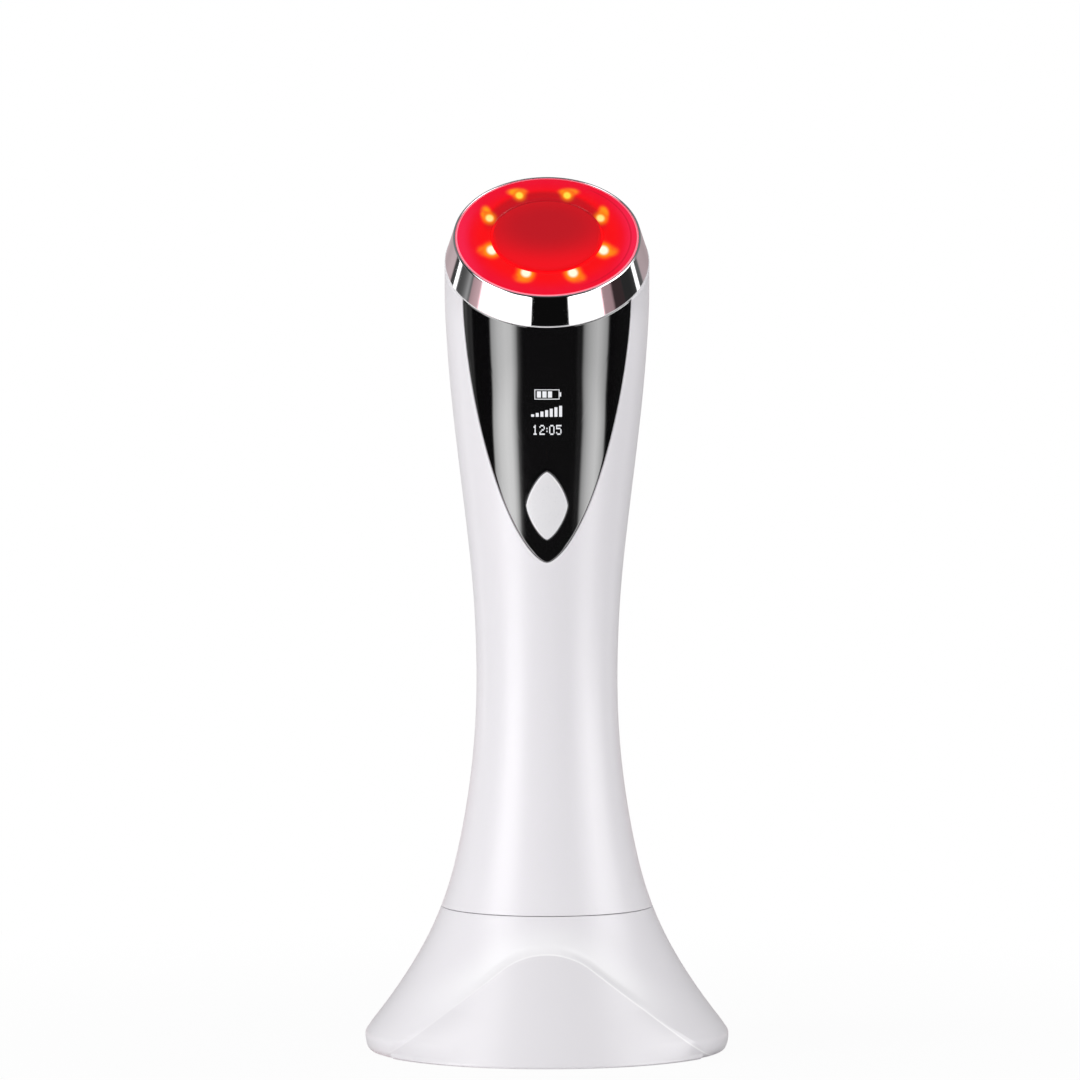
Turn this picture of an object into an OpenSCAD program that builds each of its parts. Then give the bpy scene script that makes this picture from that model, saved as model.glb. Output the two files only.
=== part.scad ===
// Hot and cold facial device: a slim handset with a tilted, lit treatment head,
// standing in a flared charging dock.
// Millimetres. +Z is up and the front, with its display, faces -Y.
// The origin is on the dock's axis, in the plane that its feet stand on.

/* [Outline] */
// Widest diameter of the dock
base_d = 76.4; // [73:0.2:82]
// Height of the dock's top rim above the table
dock_h = 30.2; // [29.5:0.1:32]
// Diameter of the handset at its waist
waist_d = 29.6; // [29.4:0.1:33]
// Height of the waist above the table
waist_z = 78; // [76:0.5:82]
// Diameter of the handset where its head begins to bend forward
head_d = 42.4; // [42:0.1:45]
// Height where the head begins to bend forward
bend_z = 152.5; // [151:0.1:163]
// Distance in front of the handset of the line that the head bends about
bend_room = 1.5; // [1:0.1:3]
// Forward tilt of the head, in degrees
head_tilt = 36.5; // [32:0.5:40]
// Wall of the handset's shells and of the dock
wall = 2; // [1.9:0.05:2.2]
// Width of the seam between the handset and the dock
seam_gap = 0.25; // [0.1:0.05:0.4]

/* [Outline details] */
// Length of the hollow curve just above the waist
waist_curve = 30; // [20:1:36]
// Length of the rounded curve just below the head
shoulder_curve = 22.8; // [16:0.2:28]
// Flank's slope at the head, as a share of its steepest slope
shoulder_share = 0.47; // [0.2:0.01:0.8]
// Height where the handset's foot begins to flare
skirt_z = 42; // [40:0.5:46]
// Slope of the flank at that height
skirt_slope = 0.22; // [0.18:0.01:0.26]
// Power of the flare below that height
skirt_power = 2.25; // [2:0.05:2.6]
// Radius of the dock's rounded bottom edge
edge_round = 3.3; // [3:0.1:4]

/* [Arch] */
// Height of the crest of the arch on the dock's front
arch_h = 22.8; // [18:0.1:24]
// Half the width of the arch at its foot
arch_half_w = 32.6; // [31:0.2:34]
// Radius of the arch's crest
arch_crest_r = 15.3; // [10:0.1:18]
// Angle that the arch's straight flanks fall at
arch_fall = 37.8; // [36:0.2:40]
// How far the arch's cone would stand out of the dock's edge at the table
arch_foot_over = 0.2; // [0:0.05:0.4]
// Inward slope of the arch's cone
arch_slope = 0.498; // [0.48:0.002:0.52]

/* [Panel, display and button] */
// Half the width of the black panel at its top
panel_half_w = 17.64; // [16:0.02:18.5]
// Height of the panel's widest point above its lower tip
panel_l = 54.7; // [50:0.1:56]
// Distance of the panel's lower tip below the bend
panel_drop = 48.5; // [46:0.1:51]
// Power of the panel's rounded outline
panel_power = 1.6; // [1.4:0.05:1.9]
// Thickness of the panel
panel_t = 1.2; // [1:0.05:1.3]
// Gap round the panel in its recess
panel_gap = 0.1; // [0.05:0.01:0.15]
// Half the width of the button
button_half_w = 4.35; // [3.8:0.05:4.8]
// Half the height of the button
button_half_h = 7.18; // [6.5:0.02:7.6]
// Power of the button's rounded outline
button_power = 1.42; // [1.3:0.02:2]
// Distance of the button's centre below the bend
button_drop = 36.6; // [36:0.1:38]
// How far the button stands out of the panel
button_proud = 0.25; // [0.1:0.05:0.4]
// Travel of the button
button_travel = 0.4; // [0.2:0.05:0.45]
// Gap round the button in the panel
button_gap = 0.15; // [0.1:0.01:0.25]
// Distance of the display's centre below the bend
display_drop = 17.4; // [17:0.1:18.2]
// Width of the display module
display_w = 14.2; // [13:0.1:15]
// Height of the display module
display_h = 12.4; // [11:0.1:13]
// Thickness of the display module
display_t = 1.3; // [1:0.05:1.6]

/* [Head] */
// Height of the chrome ring along the head's axis
ring_h = 7.05; // [6.8:0.05:7.6]
// How much smaller the ring's foot is than the shell that it caps
ring_step = 0.1; // [0.05:0.05:0.2]
// How much the ring narrows from its foot to its lip
ring_taper = 1.6; // [1.2:0.1:1.8]
// Width of the ring's lip round the lens
ring_lip_w = 1; // [0.8:0.05:1.2]
// Thickness of the lens
lens_t = 1.7; // [1.5:0.05:2]
// Radius of the metal treatment plate
plate_r = 11.3; // [10.8:0.1:11.6]
// How far the plate stands out of the lens
plate_proud = 0.2; // [0:0.05:0.4]
// Width of the seal between the plate and the lens
gasket_w = 0.45; // [0.3:0.05:0.6]
// Thickness of the LED board
led_board_t = 1; // [0.8:0.1:1.2]
// Radius of the circle of LEDs
led_circle_r = 13.2; // [12.8:0.05:13.8]
// Number of LEDs
led_count = 8; // [6:1:10]
// Side of a LED's package
led_side = 2.8; // [2.4:0.1:3]
// Height of a LED's package
led_h = 0.9; // [0.7:0.05:1]
// Side of the square thermoelectric module
peltier_side = 12; // [10:0.5:12.2]
// Thickness of the thermoelectric module
peltier_t = 2.4; // [2.2:0.1:2.6]
// Room between the carrier's tube and the shell
carrier_room = 1.3; // [1.2:0.05:1.6]
// Wall of the carrier's tube
carrier_wall = 2.6; // [2.4:0.1:3]
// Depth of the heat sink's finned part
sink_h = 7.9; // [6:0.1:8.4]
// Depth of the heat sink's pedestal above its finned part
sink_step = 3.5; // [3:0.1:4]
// Pitch of the heat sink's fins
fin_pitch = 3; // [2.4:0.1:4]
// Width of the slots between the fins
fin_slot = 1.4; // [1:0.1:1.8]

/* [Handset inside] */
// How much smaller the cell's radius is than the waist's room
cell_room = 3.7; // [3.6:0.05:4.2]
// Length of the battery cell
cell_l = 65; // [60:0.5:66]
// Gap between the cell and the rear shell at the waist
cell_rear_gap = 0.5; // [0.3:0.05:0.7]
// Thickness of the main board
board_t = 1.2; // [1:0.1:1.6]
// Gap between the main board's corners and the front shell at the waist
board_gap = 1.3; // [1.2:0.05:2]
// Distance of the main board's top end below the bend
board_top_drop = 12.7; // [12:0.1:14]
// Thickness of the chassis spine behind the board
spine_t = 1.3; // [1:0.1:1.3]
// Side of the tact switch's square body
switch_side = 6; // [5:0.5:6.5]
// Height of the tact switch's body
switch_h = 3.4; // [3:0.1:3.8]
// Radius of the tact switch's plunger
switch_plunger_r = 1.6; // [1.2:0.1:1.8]

/* [Dock inside] */
// Radius of the handset's spigot
spigot_r = 16.5; // [16:0.1:16.8]
// Length of the spigot below the seam
spigot_l = 10.25; // [9:0.05:10.5]
// Gap between the spigot and the dock's cup
spigot_gap = 0.25; // [0.15:0.05:0.35]
// Wall of the cup and of the spigot
cup_wall = 1.6; // [1.4:0.1:1.8]
// Distance between the two charging pins
pin_pitch = 10; // [8:0.2:11]
// Travel of a charging pin
pin_travel = 0.8; // [0.5:0.05:1]
// Radius of a charging pin's tip
pin_r = 0.65; // [0.5:0.05:0.7]
// Outer radius of a charging pin's barrel
barrel_r = 1.25; // [1.15:0.05:1.3]
// Radius of the contact pads under the handset
pad_r = 2.5; // [2:0.1:3]
// Width of the dock's rim round its bottom plate
base_plate_inset = 4.9; // [4.7:0.1:6]
// Thickness of the dock's bottom plate
base_plate_t = 1.8; // [1.6:0.1:2]
// Gap between the ballast weight and the board's posts
ballast_gap = 2.5; // [2.2:0.1:4]
// Height of the ballast weight
ballast_h = 6; // [4:0.2:7]
// Gap between the dock's board and the screw bosses
dock_board_gap = 1.7; // [1:0.1:3]
// Thickness of the dock's board
dock_board_t = 1.6; // [1.2:0.1:1.8]
// Width of the power inlet's metal shell
inlet_w = 8.94; // [8.4:0.02:9.2]
// Height of the power inlet's metal shell
inlet_h = 3.2; // [2.8:0.05:3.4]
// Length of the power inlet
inlet_l = 7.3; // [6.6:0.1:8]
// Radius of a rubber foot
foot_r = 4.5; // [4:0.1:5]
// Height of a rubber foot
foot_h = 1.8; // [1.6:0.05:1.8]

/* [Fasteners and fits] */
// Radius of the larger screws' shanks
screw_r = 1.1; // [1:0.05:1.2]
// Radius of the larger screws' heads
screw_head_r = 2.2; // [2:0.05:2.3]
// Height of a screw's head
screw_head_h = 1.2; // [1:0.05:1.3]
// Radius of the small board screws' shanks
small_screw_r = 0.8; // [0.7:0.05:0.9]
// Gap round a screw in its pilot hole
pilot_gap = 0.05; // [0.03:0.01:0.1]
// General gap between pieces that slip together
fit_gap = 0.15; // [0.1:0.01:0.2]

/* [Hidden] */
$fn = 96;

// Small overlap that keeps cuts and joins clean
eps = 0.02;
// More than half of the object's width, for cuts that pass right through
far = 60;
// Number of straight steps along each stretch of a flank, and along an outline
flank_steps = 24;
outline_steps = 24;

// Handset outline, driven by its waist and its head
waist_r = waist_d / 2;
head_r = head_d / 2;
base_r = base_d / 2;
rise = bend_z - waist_z;
lean = (head_r - waist_r) / (rise - waist_curve / 2 - shoulder_curve * (1 - shoulder_share) / 2);
straight_end = rise - shoulder_curve;
shoulder_r = waist_r + lean * (straight_end - waist_curve / 2);

// Flare of the foot and the dock, driven by the widest diameter
skirt_r = waist_r + skirt_slope * (waist_z - skirt_z) / 2;
edge_angle = 40;
foot_clear = 0.5;
edge_z = foot_clear + edge_round;
flare_end_z = edge_z + edge_round * sin(edge_angle);
flare_end_r = base_r - edge_round + edge_round * cos(edge_angle);
flare_l = skirt_z - flare_end_z;
flare_gain = flare_end_r - skirt_r - skirt_slope * flare_l;

// The head bends forward about a line just in front of the handset
pivot = head_r + bend_room;
ring_y = -pivot + pivot * cos(head_tilt);
ring_z = bend_z + pivot * sin(head_tilt);

// Levels of the seam, the cup and the handset's foot
seam_z = dock_h + seam_gap;
seat_z = seam_z - spigot_l;
cap_flange_t = 2;
chassis_z = seam_z + cap_flange_t;
cap_tongue_t = 0.9;
cap_tongue_r = flank_r(seam_z) - wall + 0.6;
cap_screw_x = spigot_r - 4;
cap_screw_seat = seam_z - 0.4;
cap_screw_l = 6.5;
cap_column_r = 3.6;

// Handset inside
cell_r = waist_r - wall - cell_room;
cell_back = waist_r - wall - cell_r - cell_rear_gap;
lead_r = 0.5;
bend_ball = 0.1;
cell_gap = 0.3;
spine_front = cell_back - cell_r - cell_gap - spine_t;
board_front = spine_front - board_t;
board_w = 2 * sqrt(pow(waist_r - wall - board_gap, 2) - pow(board_front, 2));
spine_half_w = board_w / 2 + 0.6;
cell_z = chassis_z + 5.55;
tab_t = 0.3;
tab_w = 2.5;
tab_reach = cell_r + 0.5;
charge_lead_x = 3.2;
stem_h = 3.4;
end_wall_t = 1.5;
cell_top = cell_z + cell_l;
button_z = bend_z - button_drop;
display_z = bend_z - display_drop;
board_bottom = chassis_z + 3.5;
board_top = bend_z - board_top_drop;
board_screw_z = [board_bottom + 6, board_top - 22];
board_screw_x = board_w / 3;
board_screw_l = board_t + spine_t;
// Chips on the main board: centre x, height above the board's foot, width, depth and height
board_chips = [
    [0, 14, 5, 0.9, 5], [-3.4, 26, 4, 1.8, 4], [3.4, 26, 3, 0.9, 3], [0, 36, 7, 1, 7],
    [-4, 47, 2, 0.8, 3], [3.6, 47, 3, 1.2, 4], [-4, 58, 4, 1.4, 2.4], [3.8, 59, 2.6, 1, 5]
];
switch_face = board_front - switch_h;
socket_y = board_front - 1.5;
socket_drop = 1.2;
shell_floor = wall - panel_t - panel_gap;
button_back = wall + 0.1;
button_flange_t = 0.8;
stem_y = -(flank_r(button_z) - button_back - button_flange_t);
switch_bore = 1;
plunger_y = (switch_face + stem_y) / 2;
window_w = display_w - 1.6;
window_h = display_h - 1.6;
// The display's flat front touches the shell's curved inner face along its lower corners
display_y = -sqrt(pow(flank_r(display_z - display_h / 2) - wall, 2) - pow(display_w / 2, 2)) + 0.1;

// Head stack, as heights along the head's axis above the ring's foot
ring_foot_r = head_r - ring_step;
ring_lip_r = ring_foot_r - ring_taper;
lens_r = ring_lip_r - ring_lip_w;
lens_top = ring_h - 0.05;
lens_z = lens_top - lens_t;
lens_flange_t = 1;
lens_flange_r = lens_r + 0.45;
carrier_r = head_r - wall - fit_gap;
carrier_seat_z = lens_z;
led_board_z = 2;
led_board_out_r = carrier_r - 1.65;
led_board_in_r = 9.7;
led_z = led_board_z + led_board_t;
plate_top = lens_top + plate_proud;
pad_t = 0.3;
peltier_z = led_board_z + pad_t;
plate_z = peltier_z + peltier_t;
plate_flange_t = 0.5;
plate_flange_r = plate_r + gasket_w + 0.35;
sink_top = led_board_z;
sink_body_z = sink_top - sink_step;
sink_bottom = sink_body_z - sink_h;
pedestal_r = 8.8;
carrier_tube_r = head_r - wall - carrier_room;
carrier_in_r = carrier_tube_r - carrier_wall;
sink_r = carrier_in_r - 0.3;
sink_flat = sink_r - 2.8;
carrier_shoulder = -3;
mount_plate_t = 1.6;
mount_plate_r = carrier_tube_r - 0.7;
head_screw_x = (carrier_in_r + carrier_tube_r) / 2;
board_screw_bite = 4;
harness_r = 0.45;
harness_y = -(sink_flat + harness_r + 0.95);
harness_pitch = 1.6;
harness_half_w = 2.6 * harness_pitch;

// Dock inside
base_plate_r = base_r - base_plate_inset;
base_top = foot_h / 2 + base_plate_t;
base_bottom = foot_h / 2;
plate_cavity_r = base_plate_r + 0.1;
boss_circle_r = base_plate_r - 5.8;
boss_r = 3;
dock_board_r = boss_circle_r - boss_r - dock_board_gap;
post_circle_r = dock_board_r - 2.8;
post_r = 2;
ballast_r = post_circle_r - post_r - ballast_gap;
ballast_rim_r = ballast_r + 0.2;
dock_board_z = base_top + ballast_h + 2;
dock_board_top = dock_board_z + dock_board_t;
// Parts on the dock's board: centre x, centre y, width, depth and height
dock_chips = [
    [0, 10, 5, 5, 1], [-9, 6, 6, 6, 3], [9, 6, 3, 4, 1.4], [-9, -7, 4, 3, 1.6], [7, -8, 5, 4, 1.2]
];
base_screw_l = 7;
cup_floor_t = 1.6;
cup_r = spigot_r + spigot_gap + cup_wall;
cup_flange_t = 1.5;
cup_flange_r = flank_r(dock_h) - 1.97;
ledge_t = 1.5;
ledge_r = cup_r + 0.55;
barrel_top = seat_z - 0.6;
barrel_floor = 0.6;
barrel_neck = 0.7;
barrel_wall = 0.3;
pin_tip_gap = 0.05;
pin_flange_t = 1.4;
pin_flange_r = barrel_r - barrel_wall - 0.05;
pin_flange_top = barrel_top - barrel_neck - 0.05;
spring_bottom = dock_board_top + barrel_floor;
spring_top = pin_flange_top - pin_flange_t;
spring_wire_r = 0.12;
spring_turns = 6;
inlet_z = dock_board_top + inlet_h / 2;
inlet_wall = 0.3;
pocket_w = inlet_w + 3.5;
pocket_h = inlet_h + 3.4;
pocket_y = flank_r(inlet_z + pocket_h / 2) - 1.4;
inlet_boss_y = pocket_y - 2.5;
inlet_boss_margin = 1.8;
tongue_w = 15;

// Outer radius of the handset and dock at height z
function above_waist(u) = u < waist_curve
    ? waist_r + lean * u * u / (2 * waist_curve)
    : u < straight_end
        ? waist_r + lean * (u - waist_curve / 2)
        : shoulder_r + lean * (u - straight_end)
            - lean * (1 - shoulder_share) * pow(u - straight_end, 2) / (2 * shoulder_curve);
function below_waist(z) = z > skirt_z
    ? waist_r + skirt_slope * pow(waist_z - z, 2) / (2 * (waist_z - skirt_z))
    : skirt_r + skirt_slope * (skirt_z - z) + flare_gain * pow((skirt_z - z) / flare_l, skirt_power);
function flank_r(z) = z > waist_z ? above_waist(z - waist_z) : below_waist(z);

// Radius of the arch's cone at height z
function cone_r(z) = base_r + arch_foot_over - arch_slope * z;

// Points up a flank from z0 to z1, moved in by inset
function flank(z0, z1, inset) = [
    for (i = [0:flank_steps]) let (z = z0 + (z1 - z0) * i / flank_steps) [flank_r(z) - inset, z]
];

// A quarter of a superellipse, from its widest point down to its tip
function quarter(w, h, power) = [
    for (i = [0:outline_steps]) let (a = 90 * i / outline_steps)
        [w * pow(cos(a), 2 / power), -h * pow(sin(a), 2 / power)]
];

// The four ways to the diagonal positions
DIAGONALS = [45, 135, 225, 315];

// Frame of the tilted head, with its origin at the centre of the ring's foot
module head_frame() {
    translate([0, ring_y, ring_z]) rotate([head_tilt, 0, 0]) children();
}

// Stands an outline drawn in x and z upright and runs it from y = 0 towards the front
module forward(depth) {
    rotate([90, 0, 0]) linear_extrude(height = depth) children();
}

// Box given by its two opposite corners
module span(low, high) {
    translate(low) cube(high - low);
}

// Tube along a list of points, with a slightly larger ball at each bend
module wire(points, r) {
    for (i = [0:len(points) - 2]) {
        step = points[i + 1] - points[i];
        l = norm(step);
        translate(points[i])
            rotate([0, acos(step[2] / l), atan2(step[1], step[0])])
                cylinder(r = r, h = l, $fn = 24);
        if (i > 0) translate(points[i]) sphere(r = r + bend_ball, $fn = 24);
    }
}

// Screw whose head rests on z = 0 and whose shank runs up
module screw(r, head_r, l) {
    translate([0, 0, -screw_head_h]) difference() {
        cylinder(r = head_r, h = screw_head_h);
        for (turn = [0, 90])
            rotate([0, 0, turn]) translate([-head_r * 0.6, -0.2, -eps])
                cube([head_r * 1.2, 0.4, screw_head_h / 2]);
    }
    cylinder(r = r, h = l);
}

// Solid bounded by the handset's outer face, moved in by inset
module handset_solid(inset, bottom = seam_z, over = 0) {
    rotate_extrude()
        polygon(concat(
            [[0, bottom]], flank(bottom, waist_z, inset), flank(waist_z + 1, bend_z, inset), [[0, bend_z]]
        ));
    translate([0, -pivot, bend_z]) rotate([90, 0, 90])
        rotate_extrude(angle = head_tilt + over)
            translate([pivot, 0]) circle(r = head_r - inset);
}

// Wall of the handset between two depths below its outer face
module handset_skin(outer, inner, bottom = seam_z) {
    difference() {
        handset_solid(outer, bottom);
        handset_solid(inner, bottom - 1, 3);
    }
}

// Outline of the panel, grown all round by grow
module panel_outline(grow = 0) {
    right = quarter(panel_half_w + grow, panel_l + grow, panel_power);
    top = far / 2;
    translate([0, bend_z - panel_drop + panel_l])
        polygon(concat(
            [[panel_half_w + grow, top]], right,
            [for (i = [len(right) - 2:-1:0]) [-right[i][0], right[i][1]]],
            [[-panel_half_w - grow, top]]
        ));
}

// Outline of the button, grown all round by grow
module button_outline(grow = 0) {
    low = quarter(button_half_w + grow, button_half_h + grow, button_power);
    n = len(low) - 1;
    translate([0, button_z])
        polygon(concat(
            low,
            [for (i = [n - 1:-1:0]) [-low[i][0], low[i][1]]],
            [for (i = [1:n]) [-low[i][0], -low[i][1]]],
            [for (i = [n - 1:-1:1]) [low[i][0], -low[i][1]]]
        ));
}

// Window behind which the display lies
module window_outline(shrink = 0) {
    translate([0, display_z]) square([window_w - 2 * shrink, window_h - 2 * shrink], center = true);
}

// Both halves of the handset's shell, with the panel's recess and its openings
module shell_pair() {
    difference() {
        handset_skin(0, wall);
        intersection() {
            forward(far) panel_outline(panel_gap);
            handset_skin(-1, panel_t + panel_gap);
        }
        forward(far) window_outline();
        forward(far) button_outline(button_gap);
        translate([0, 0, seam_z + (cap_flange_t - cap_tongue_t) / 2 - fit_gap])
            cylinder(r = cap_tongue_r + fit_gap, h = cap_tongue_t + 2 * fit_gap);
    }
}

module front_shell() {
    color("whitesmoke") intersection() {
        shell_pair();
        span([-far, -far, 0], [far, 0, 4 * far]);
    }
}

module rear_shell() {
    lip_low = seam_z + 4;
    lip_high = bend_z - 14;
    lip = 1.2;
    color("whitesmoke") {
        intersection() {
            shell_pair();
            span([-far, 0, 0], [far, far, 4 * far]);
        }
        // Locating lip that slips inside the front shell
        intersection() {
            handset_skin(wall + fit_gap, wall + fit_gap + 0.8);
            span([-far, -lip, lip_low], [far, 0, lip_high]);
        }
        intersection() {
            handset_skin(wall - eps, wall + fit_gap + 0.8);
            span([-far, 0, lip_low], [far, lip, lip_high]);
        }
    }
}

module bottom_cap() {
    color("white") difference() {
        union() {
            difference() {
                translate([0, 0, seat_z]) cylinder(r = spigot_r, h = spigot_l + eps);
                translate([0, 0, seat_z + 1.8]) cylinder(r = spigot_r - cup_wall, h = spigot_l);
            }
            difference() {
                union() {
                    translate([0, 0, seam_z])
                        cylinder(r = flank_r(seam_z + cap_flange_t) - wall - fit_gap, h = cap_flange_t);
                    translate([0, 0, seam_z + (cap_flange_t - cap_tongue_t) / 2])
                        cylinder(r = cap_tongue_r, h = cap_tongue_t);
                }
                translate([0, 0, seam_z - 1]) cylinder(r = spigot_r - cup_wall, h = cap_flange_t + 2);
            }
            for (side = [-1, 1])
                translate([side * cap_screw_x, 0, seat_z])
                    cylinder(r = cap_column_r, h = chassis_z - seat_z);
        }
        for (side = [-1, 1]) {
            translate([side * cap_screw_x, 0, seat_z - 1])
                cylinder(r = screw_head_r + 0.3, h = cap_screw_seat - seat_z + 1);
            translate([side * cap_screw_x, 0, seat_z])
                cylinder(r = screw_r + fit_gap, h = far);
            translate([side * pin_pitch / 2, 0, seat_z - eps]) cylinder(r = pad_r, h = 0.8 + eps);
            translate([side * pin_pitch / 2, 0, seat_z]) cylinder(r = 0.7, h = 4);
        }
    }
}

// Gold pads, each with a stem that the charging lead is soldered to
module contact_pads() {
    color("gold")
        for (side = [-1, 1])
            translate([side * pin_pitch / 2, 0, seat_z]) {
                cylinder(r = pad_r, h = 0.8);
                cylinder(r = 0.7, h = stem_h);
            }
}

module cap_screws() {
    color("silver")
        for (side = [-1, 1])
            translate([side * cap_screw_x, 0, cap_screw_seat])
                screw(screw_r, screw_head_r, cap_screw_l);
}

// Frame that carries the cell, the board and the head
module chassis() {
    boss_top = cap_screw_seat + cap_screw_l + 0.6;
    color("dimgray") difference() {
        union() {
            // Foot that stands on the bottom cap
            intersection() {
                translate([0, 0, chassis_z]) cylinder(r = spigot_r, h = 1.6);
                span([-far, -9.5, 0], [far, 9.5, far]);
            }
            for (side = [-1, 1])
                translate([side * cap_screw_x, 0, chassis_z])
                    cylinder(r = screw_r + 1.8, h = boss_top - chassis_z);
            // Spine between the cell and the board
            difference() {
                span(
                    [-spine_half_w, spine_front, chassis_z],
                    [spine_half_w, spine_front + spine_t, bend_z + 10]
                );
                head_frame() span([-far, -far, sink_bottom - mount_plate_t / 2], [far, far, far]);
                span([-harness_half_w, -far, board_top + 4], [harness_half_w, far, 4 * far]);
            }
            // End walls that hold the cell
            for (z = [cell_z - tab_t - end_wall_t, cell_top + tab_t])
                span(
                    [-0.75 * cell_r, spine_front, z],
                    [0.75 * cell_r, cell_back + 0.6 * cell_r, z + end_wall_t]
                );
            // Tilted plate that the head is screwed to
            head_frame() translate([0, 0, sink_bottom - mount_plate_t]) {
                cylinder(r = mount_plate_r, h = mount_plate_t);
                for (side = [-1, 1])
                    translate([side * head_screw_x, 0, 0]) cylinder(r = small_screw_r + 1.2, h = mount_plate_t);
            }
        }
        for (side = [-1, 1]) {
            translate([side * cap_screw_x, 0, chassis_z - 1])
                cylinder(r = screw_r + pilot_gap, h = boss_top - chassis_z + 2);
            head_frame() translate([side * head_screw_x, 0, sink_bottom - mount_plate_t - 1])
                cylinder(r = small_screw_r + fit_gap, h = mount_plate_t + 2);
        }
        // Room for the charging leads and the harness
        span([-charge_lead_x - 1, -far, chassis_z - 1], [charge_lead_x + 1, spine_front, board_bottom - 1]);
        head_frame() span(
            [-harness_half_w, harness_y - 1.2, sink_bottom - mount_plate_t - 1],
            [harness_half_w, harness_y + 1.2, sink_bottom + 1]
        );
        for (z = board_screw_z)
            translate([board_screw_x, spine_front - 1, z]) rotate([-90, 0, 0])
                cylinder(r = small_screw_r + pilot_gap, h = spine_t + 2);
    }
}

module display_panel() {
    color("black") difference() {
        intersection() {
            handset_skin(0, panel_t);
            forward(far) panel_outline();
        }
        forward(far) button_outline(button_gap);
    }
}

// Dark frame that fills the window between the panel and the display
module display_frame() {
    color([0.1, 0.1, 0.1]) difference() {
        intersection() {
            handset_solid(panel_t + 0.05);
            forward(far) window_outline(fit_gap);
        }
        span([-far, display_y, 0], [far, far, 4 * far]);
        forward(far) window_outline(1.4);
    }
}

module display_module() {
    color("darkslategray")
        span(
            [-display_w / 2, display_y, display_z - display_h / 2],
            [display_w / 2, display_y + display_t, display_z + display_h / 2]
        );
}

// Flat cable from the display's lower edge back to the main board
module display_ribbon() {
    w = 6;
    t = 0.25;
    back = display_y + display_t;
    top = display_z - display_h / 2 + 3;
    low = top - 6;
    color("darkorange") translate([w / 2, 0, 0]) rotate([0, -90, 0]) linear_extrude(height = w)
        polygon([
            [top, back], [top, back + t], [low + t, back + t],
            [low + t, board_front], [low, board_front], [low, back]
        ]);
}

module main_board() {
    color("darkgreen") difference() {
        span([-board_w / 2, board_front, board_bottom], [board_w / 2, spine_front, board_top]);
        for (z = board_screw_z)
            translate([board_screw_x, board_front - 1, z]) rotate([-90, 0, 0])
                cylinder(r = small_screw_r + fit_gap, h = board_t + 2);
    }
}

// Chips and the harness's socket on the main board
module board_components() {
    color([0.15, 0.15, 0.17]) {
        for (c = board_chips)
            span(
                [c[0] - c[2] / 2, board_front - c[3], board_bottom + c[1] - c[4] / 2],
                [c[0] + c[2] / 2, board_front, board_bottom + c[1] + c[4] / 2]
            );
        // Socket that the head's harness plugs into
        span(
            [-3.8, 2 * socket_y - board_front, board_top - socket_drop - 3.8],
            [3.8, board_front, board_top - socket_drop]
        );
    }
}

module board_screws() {
    color("silver")
        for (z = board_screw_z)
            translate([board_screw_x, board_front, z]) rotate([-90, 0, 0])
                screw(small_screw_r, small_screw_r * 1.9, board_screw_l);
}

module tact_switch() {
    color([0.2, 0.2, 0.2]) difference() {
        span(
            [-switch_side / 2, switch_face, button_z - switch_side / 2],
            [switch_side / 2, board_front, button_z + switch_side / 2]
        );
        translate([0, switch_face - 1, button_z]) rotate([-90, 0, 0])
            cylinder(r = switch_plunger_r + 0.1, h = switch_bore + 1);
    }
}

module battery() {
    color("royalblue") translate([0, cell_back, cell_z]) cylinder(r = cell_r, h = cell_l);
}

// Nickel strips welded to the ends of the cell, each reaching out past one side
module battery_tabs() {
    color("lightgray")
        for (end = [[1, cell_z - tab_t], [-1, cell_top]])
            translate([0, cell_back, end[1]]) span(
                [min(-tab_w, end[0] * tab_reach), -tab_w, 0],
                [max(tab_w, end[0] * tab_reach), tab_w, tab_t]
            );
}

// Leads from the strips round the sides of the spine to the front of the main board
module battery_leads() {
    rest_x = spine_half_w + 0.9;
    color("crimson")
        for (end = [[1, cell_z - tab_t], [-1, cell_top]])
            wire([
                [end[0] * (tab_reach + lead_r), cell_back, end[1]],
                [end[0] * (tab_reach + lead_r), cell_back, end[1] + 2.5],
                [end[0] * rest_x, spine_front + spine_t / 2, end[1] + 5.5],
                [end[0] * rest_x, board_front - lead_r, end[1] + 6.5],
                [end[0] * (board_w / 2 - 0.8), board_front - lead_r, end[1] + 6.5]
            ], lead_r);
}

// Leads from the contact pads' stems up to the foot of the main board
module charge_leads() {
    color("crimson")
        for (side = [-1, 1])
            wire([
                [side * pin_pitch / 2, 0, seat_z + stem_h],
                [side * pin_pitch / 2, 0, seat_z + stem_h + 1.5],
                [side * charge_lead_x, board_front - lead_r, chassis_z - 1],
                [side * charge_lead_x, board_front - lead_r, board_bottom + 2]
            ], lead_r);
}

// Ring-shaped frame inside the top of the shells, carrying all of the head
module head_carrier() {
    color("dimgray") head_frame() difference() {
        rotate_extrude() polygon([
            [carrier_in_r, sink_bottom], [carrier_tube_r, sink_bottom],
            [carrier_tube_r, carrier_shoulder], [carrier_r, carrier_shoulder],
            [carrier_r, carrier_seat_z], [led_board_out_r + fit_gap, carrier_seat_z],
            [led_board_out_r + fit_gap, led_board_z], [carrier_in_r, led_board_z]
        ]);
        for (side = [-1, 1])
            translate([side * head_screw_x, 0, sink_bottom - 1])
                cylinder(r = small_screw_r + pilot_gap, h = board_screw_bite + 2);
    }
}

module head_screws() {
    color("silver")
        for (side = [-1, 1])
            head_frame() translate([side * head_screw_x, 0, sink_bottom - mount_plate_t])
                screw(small_screw_r, small_screw_r * 1.9, mount_plate_t + board_screw_bite);
}

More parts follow.
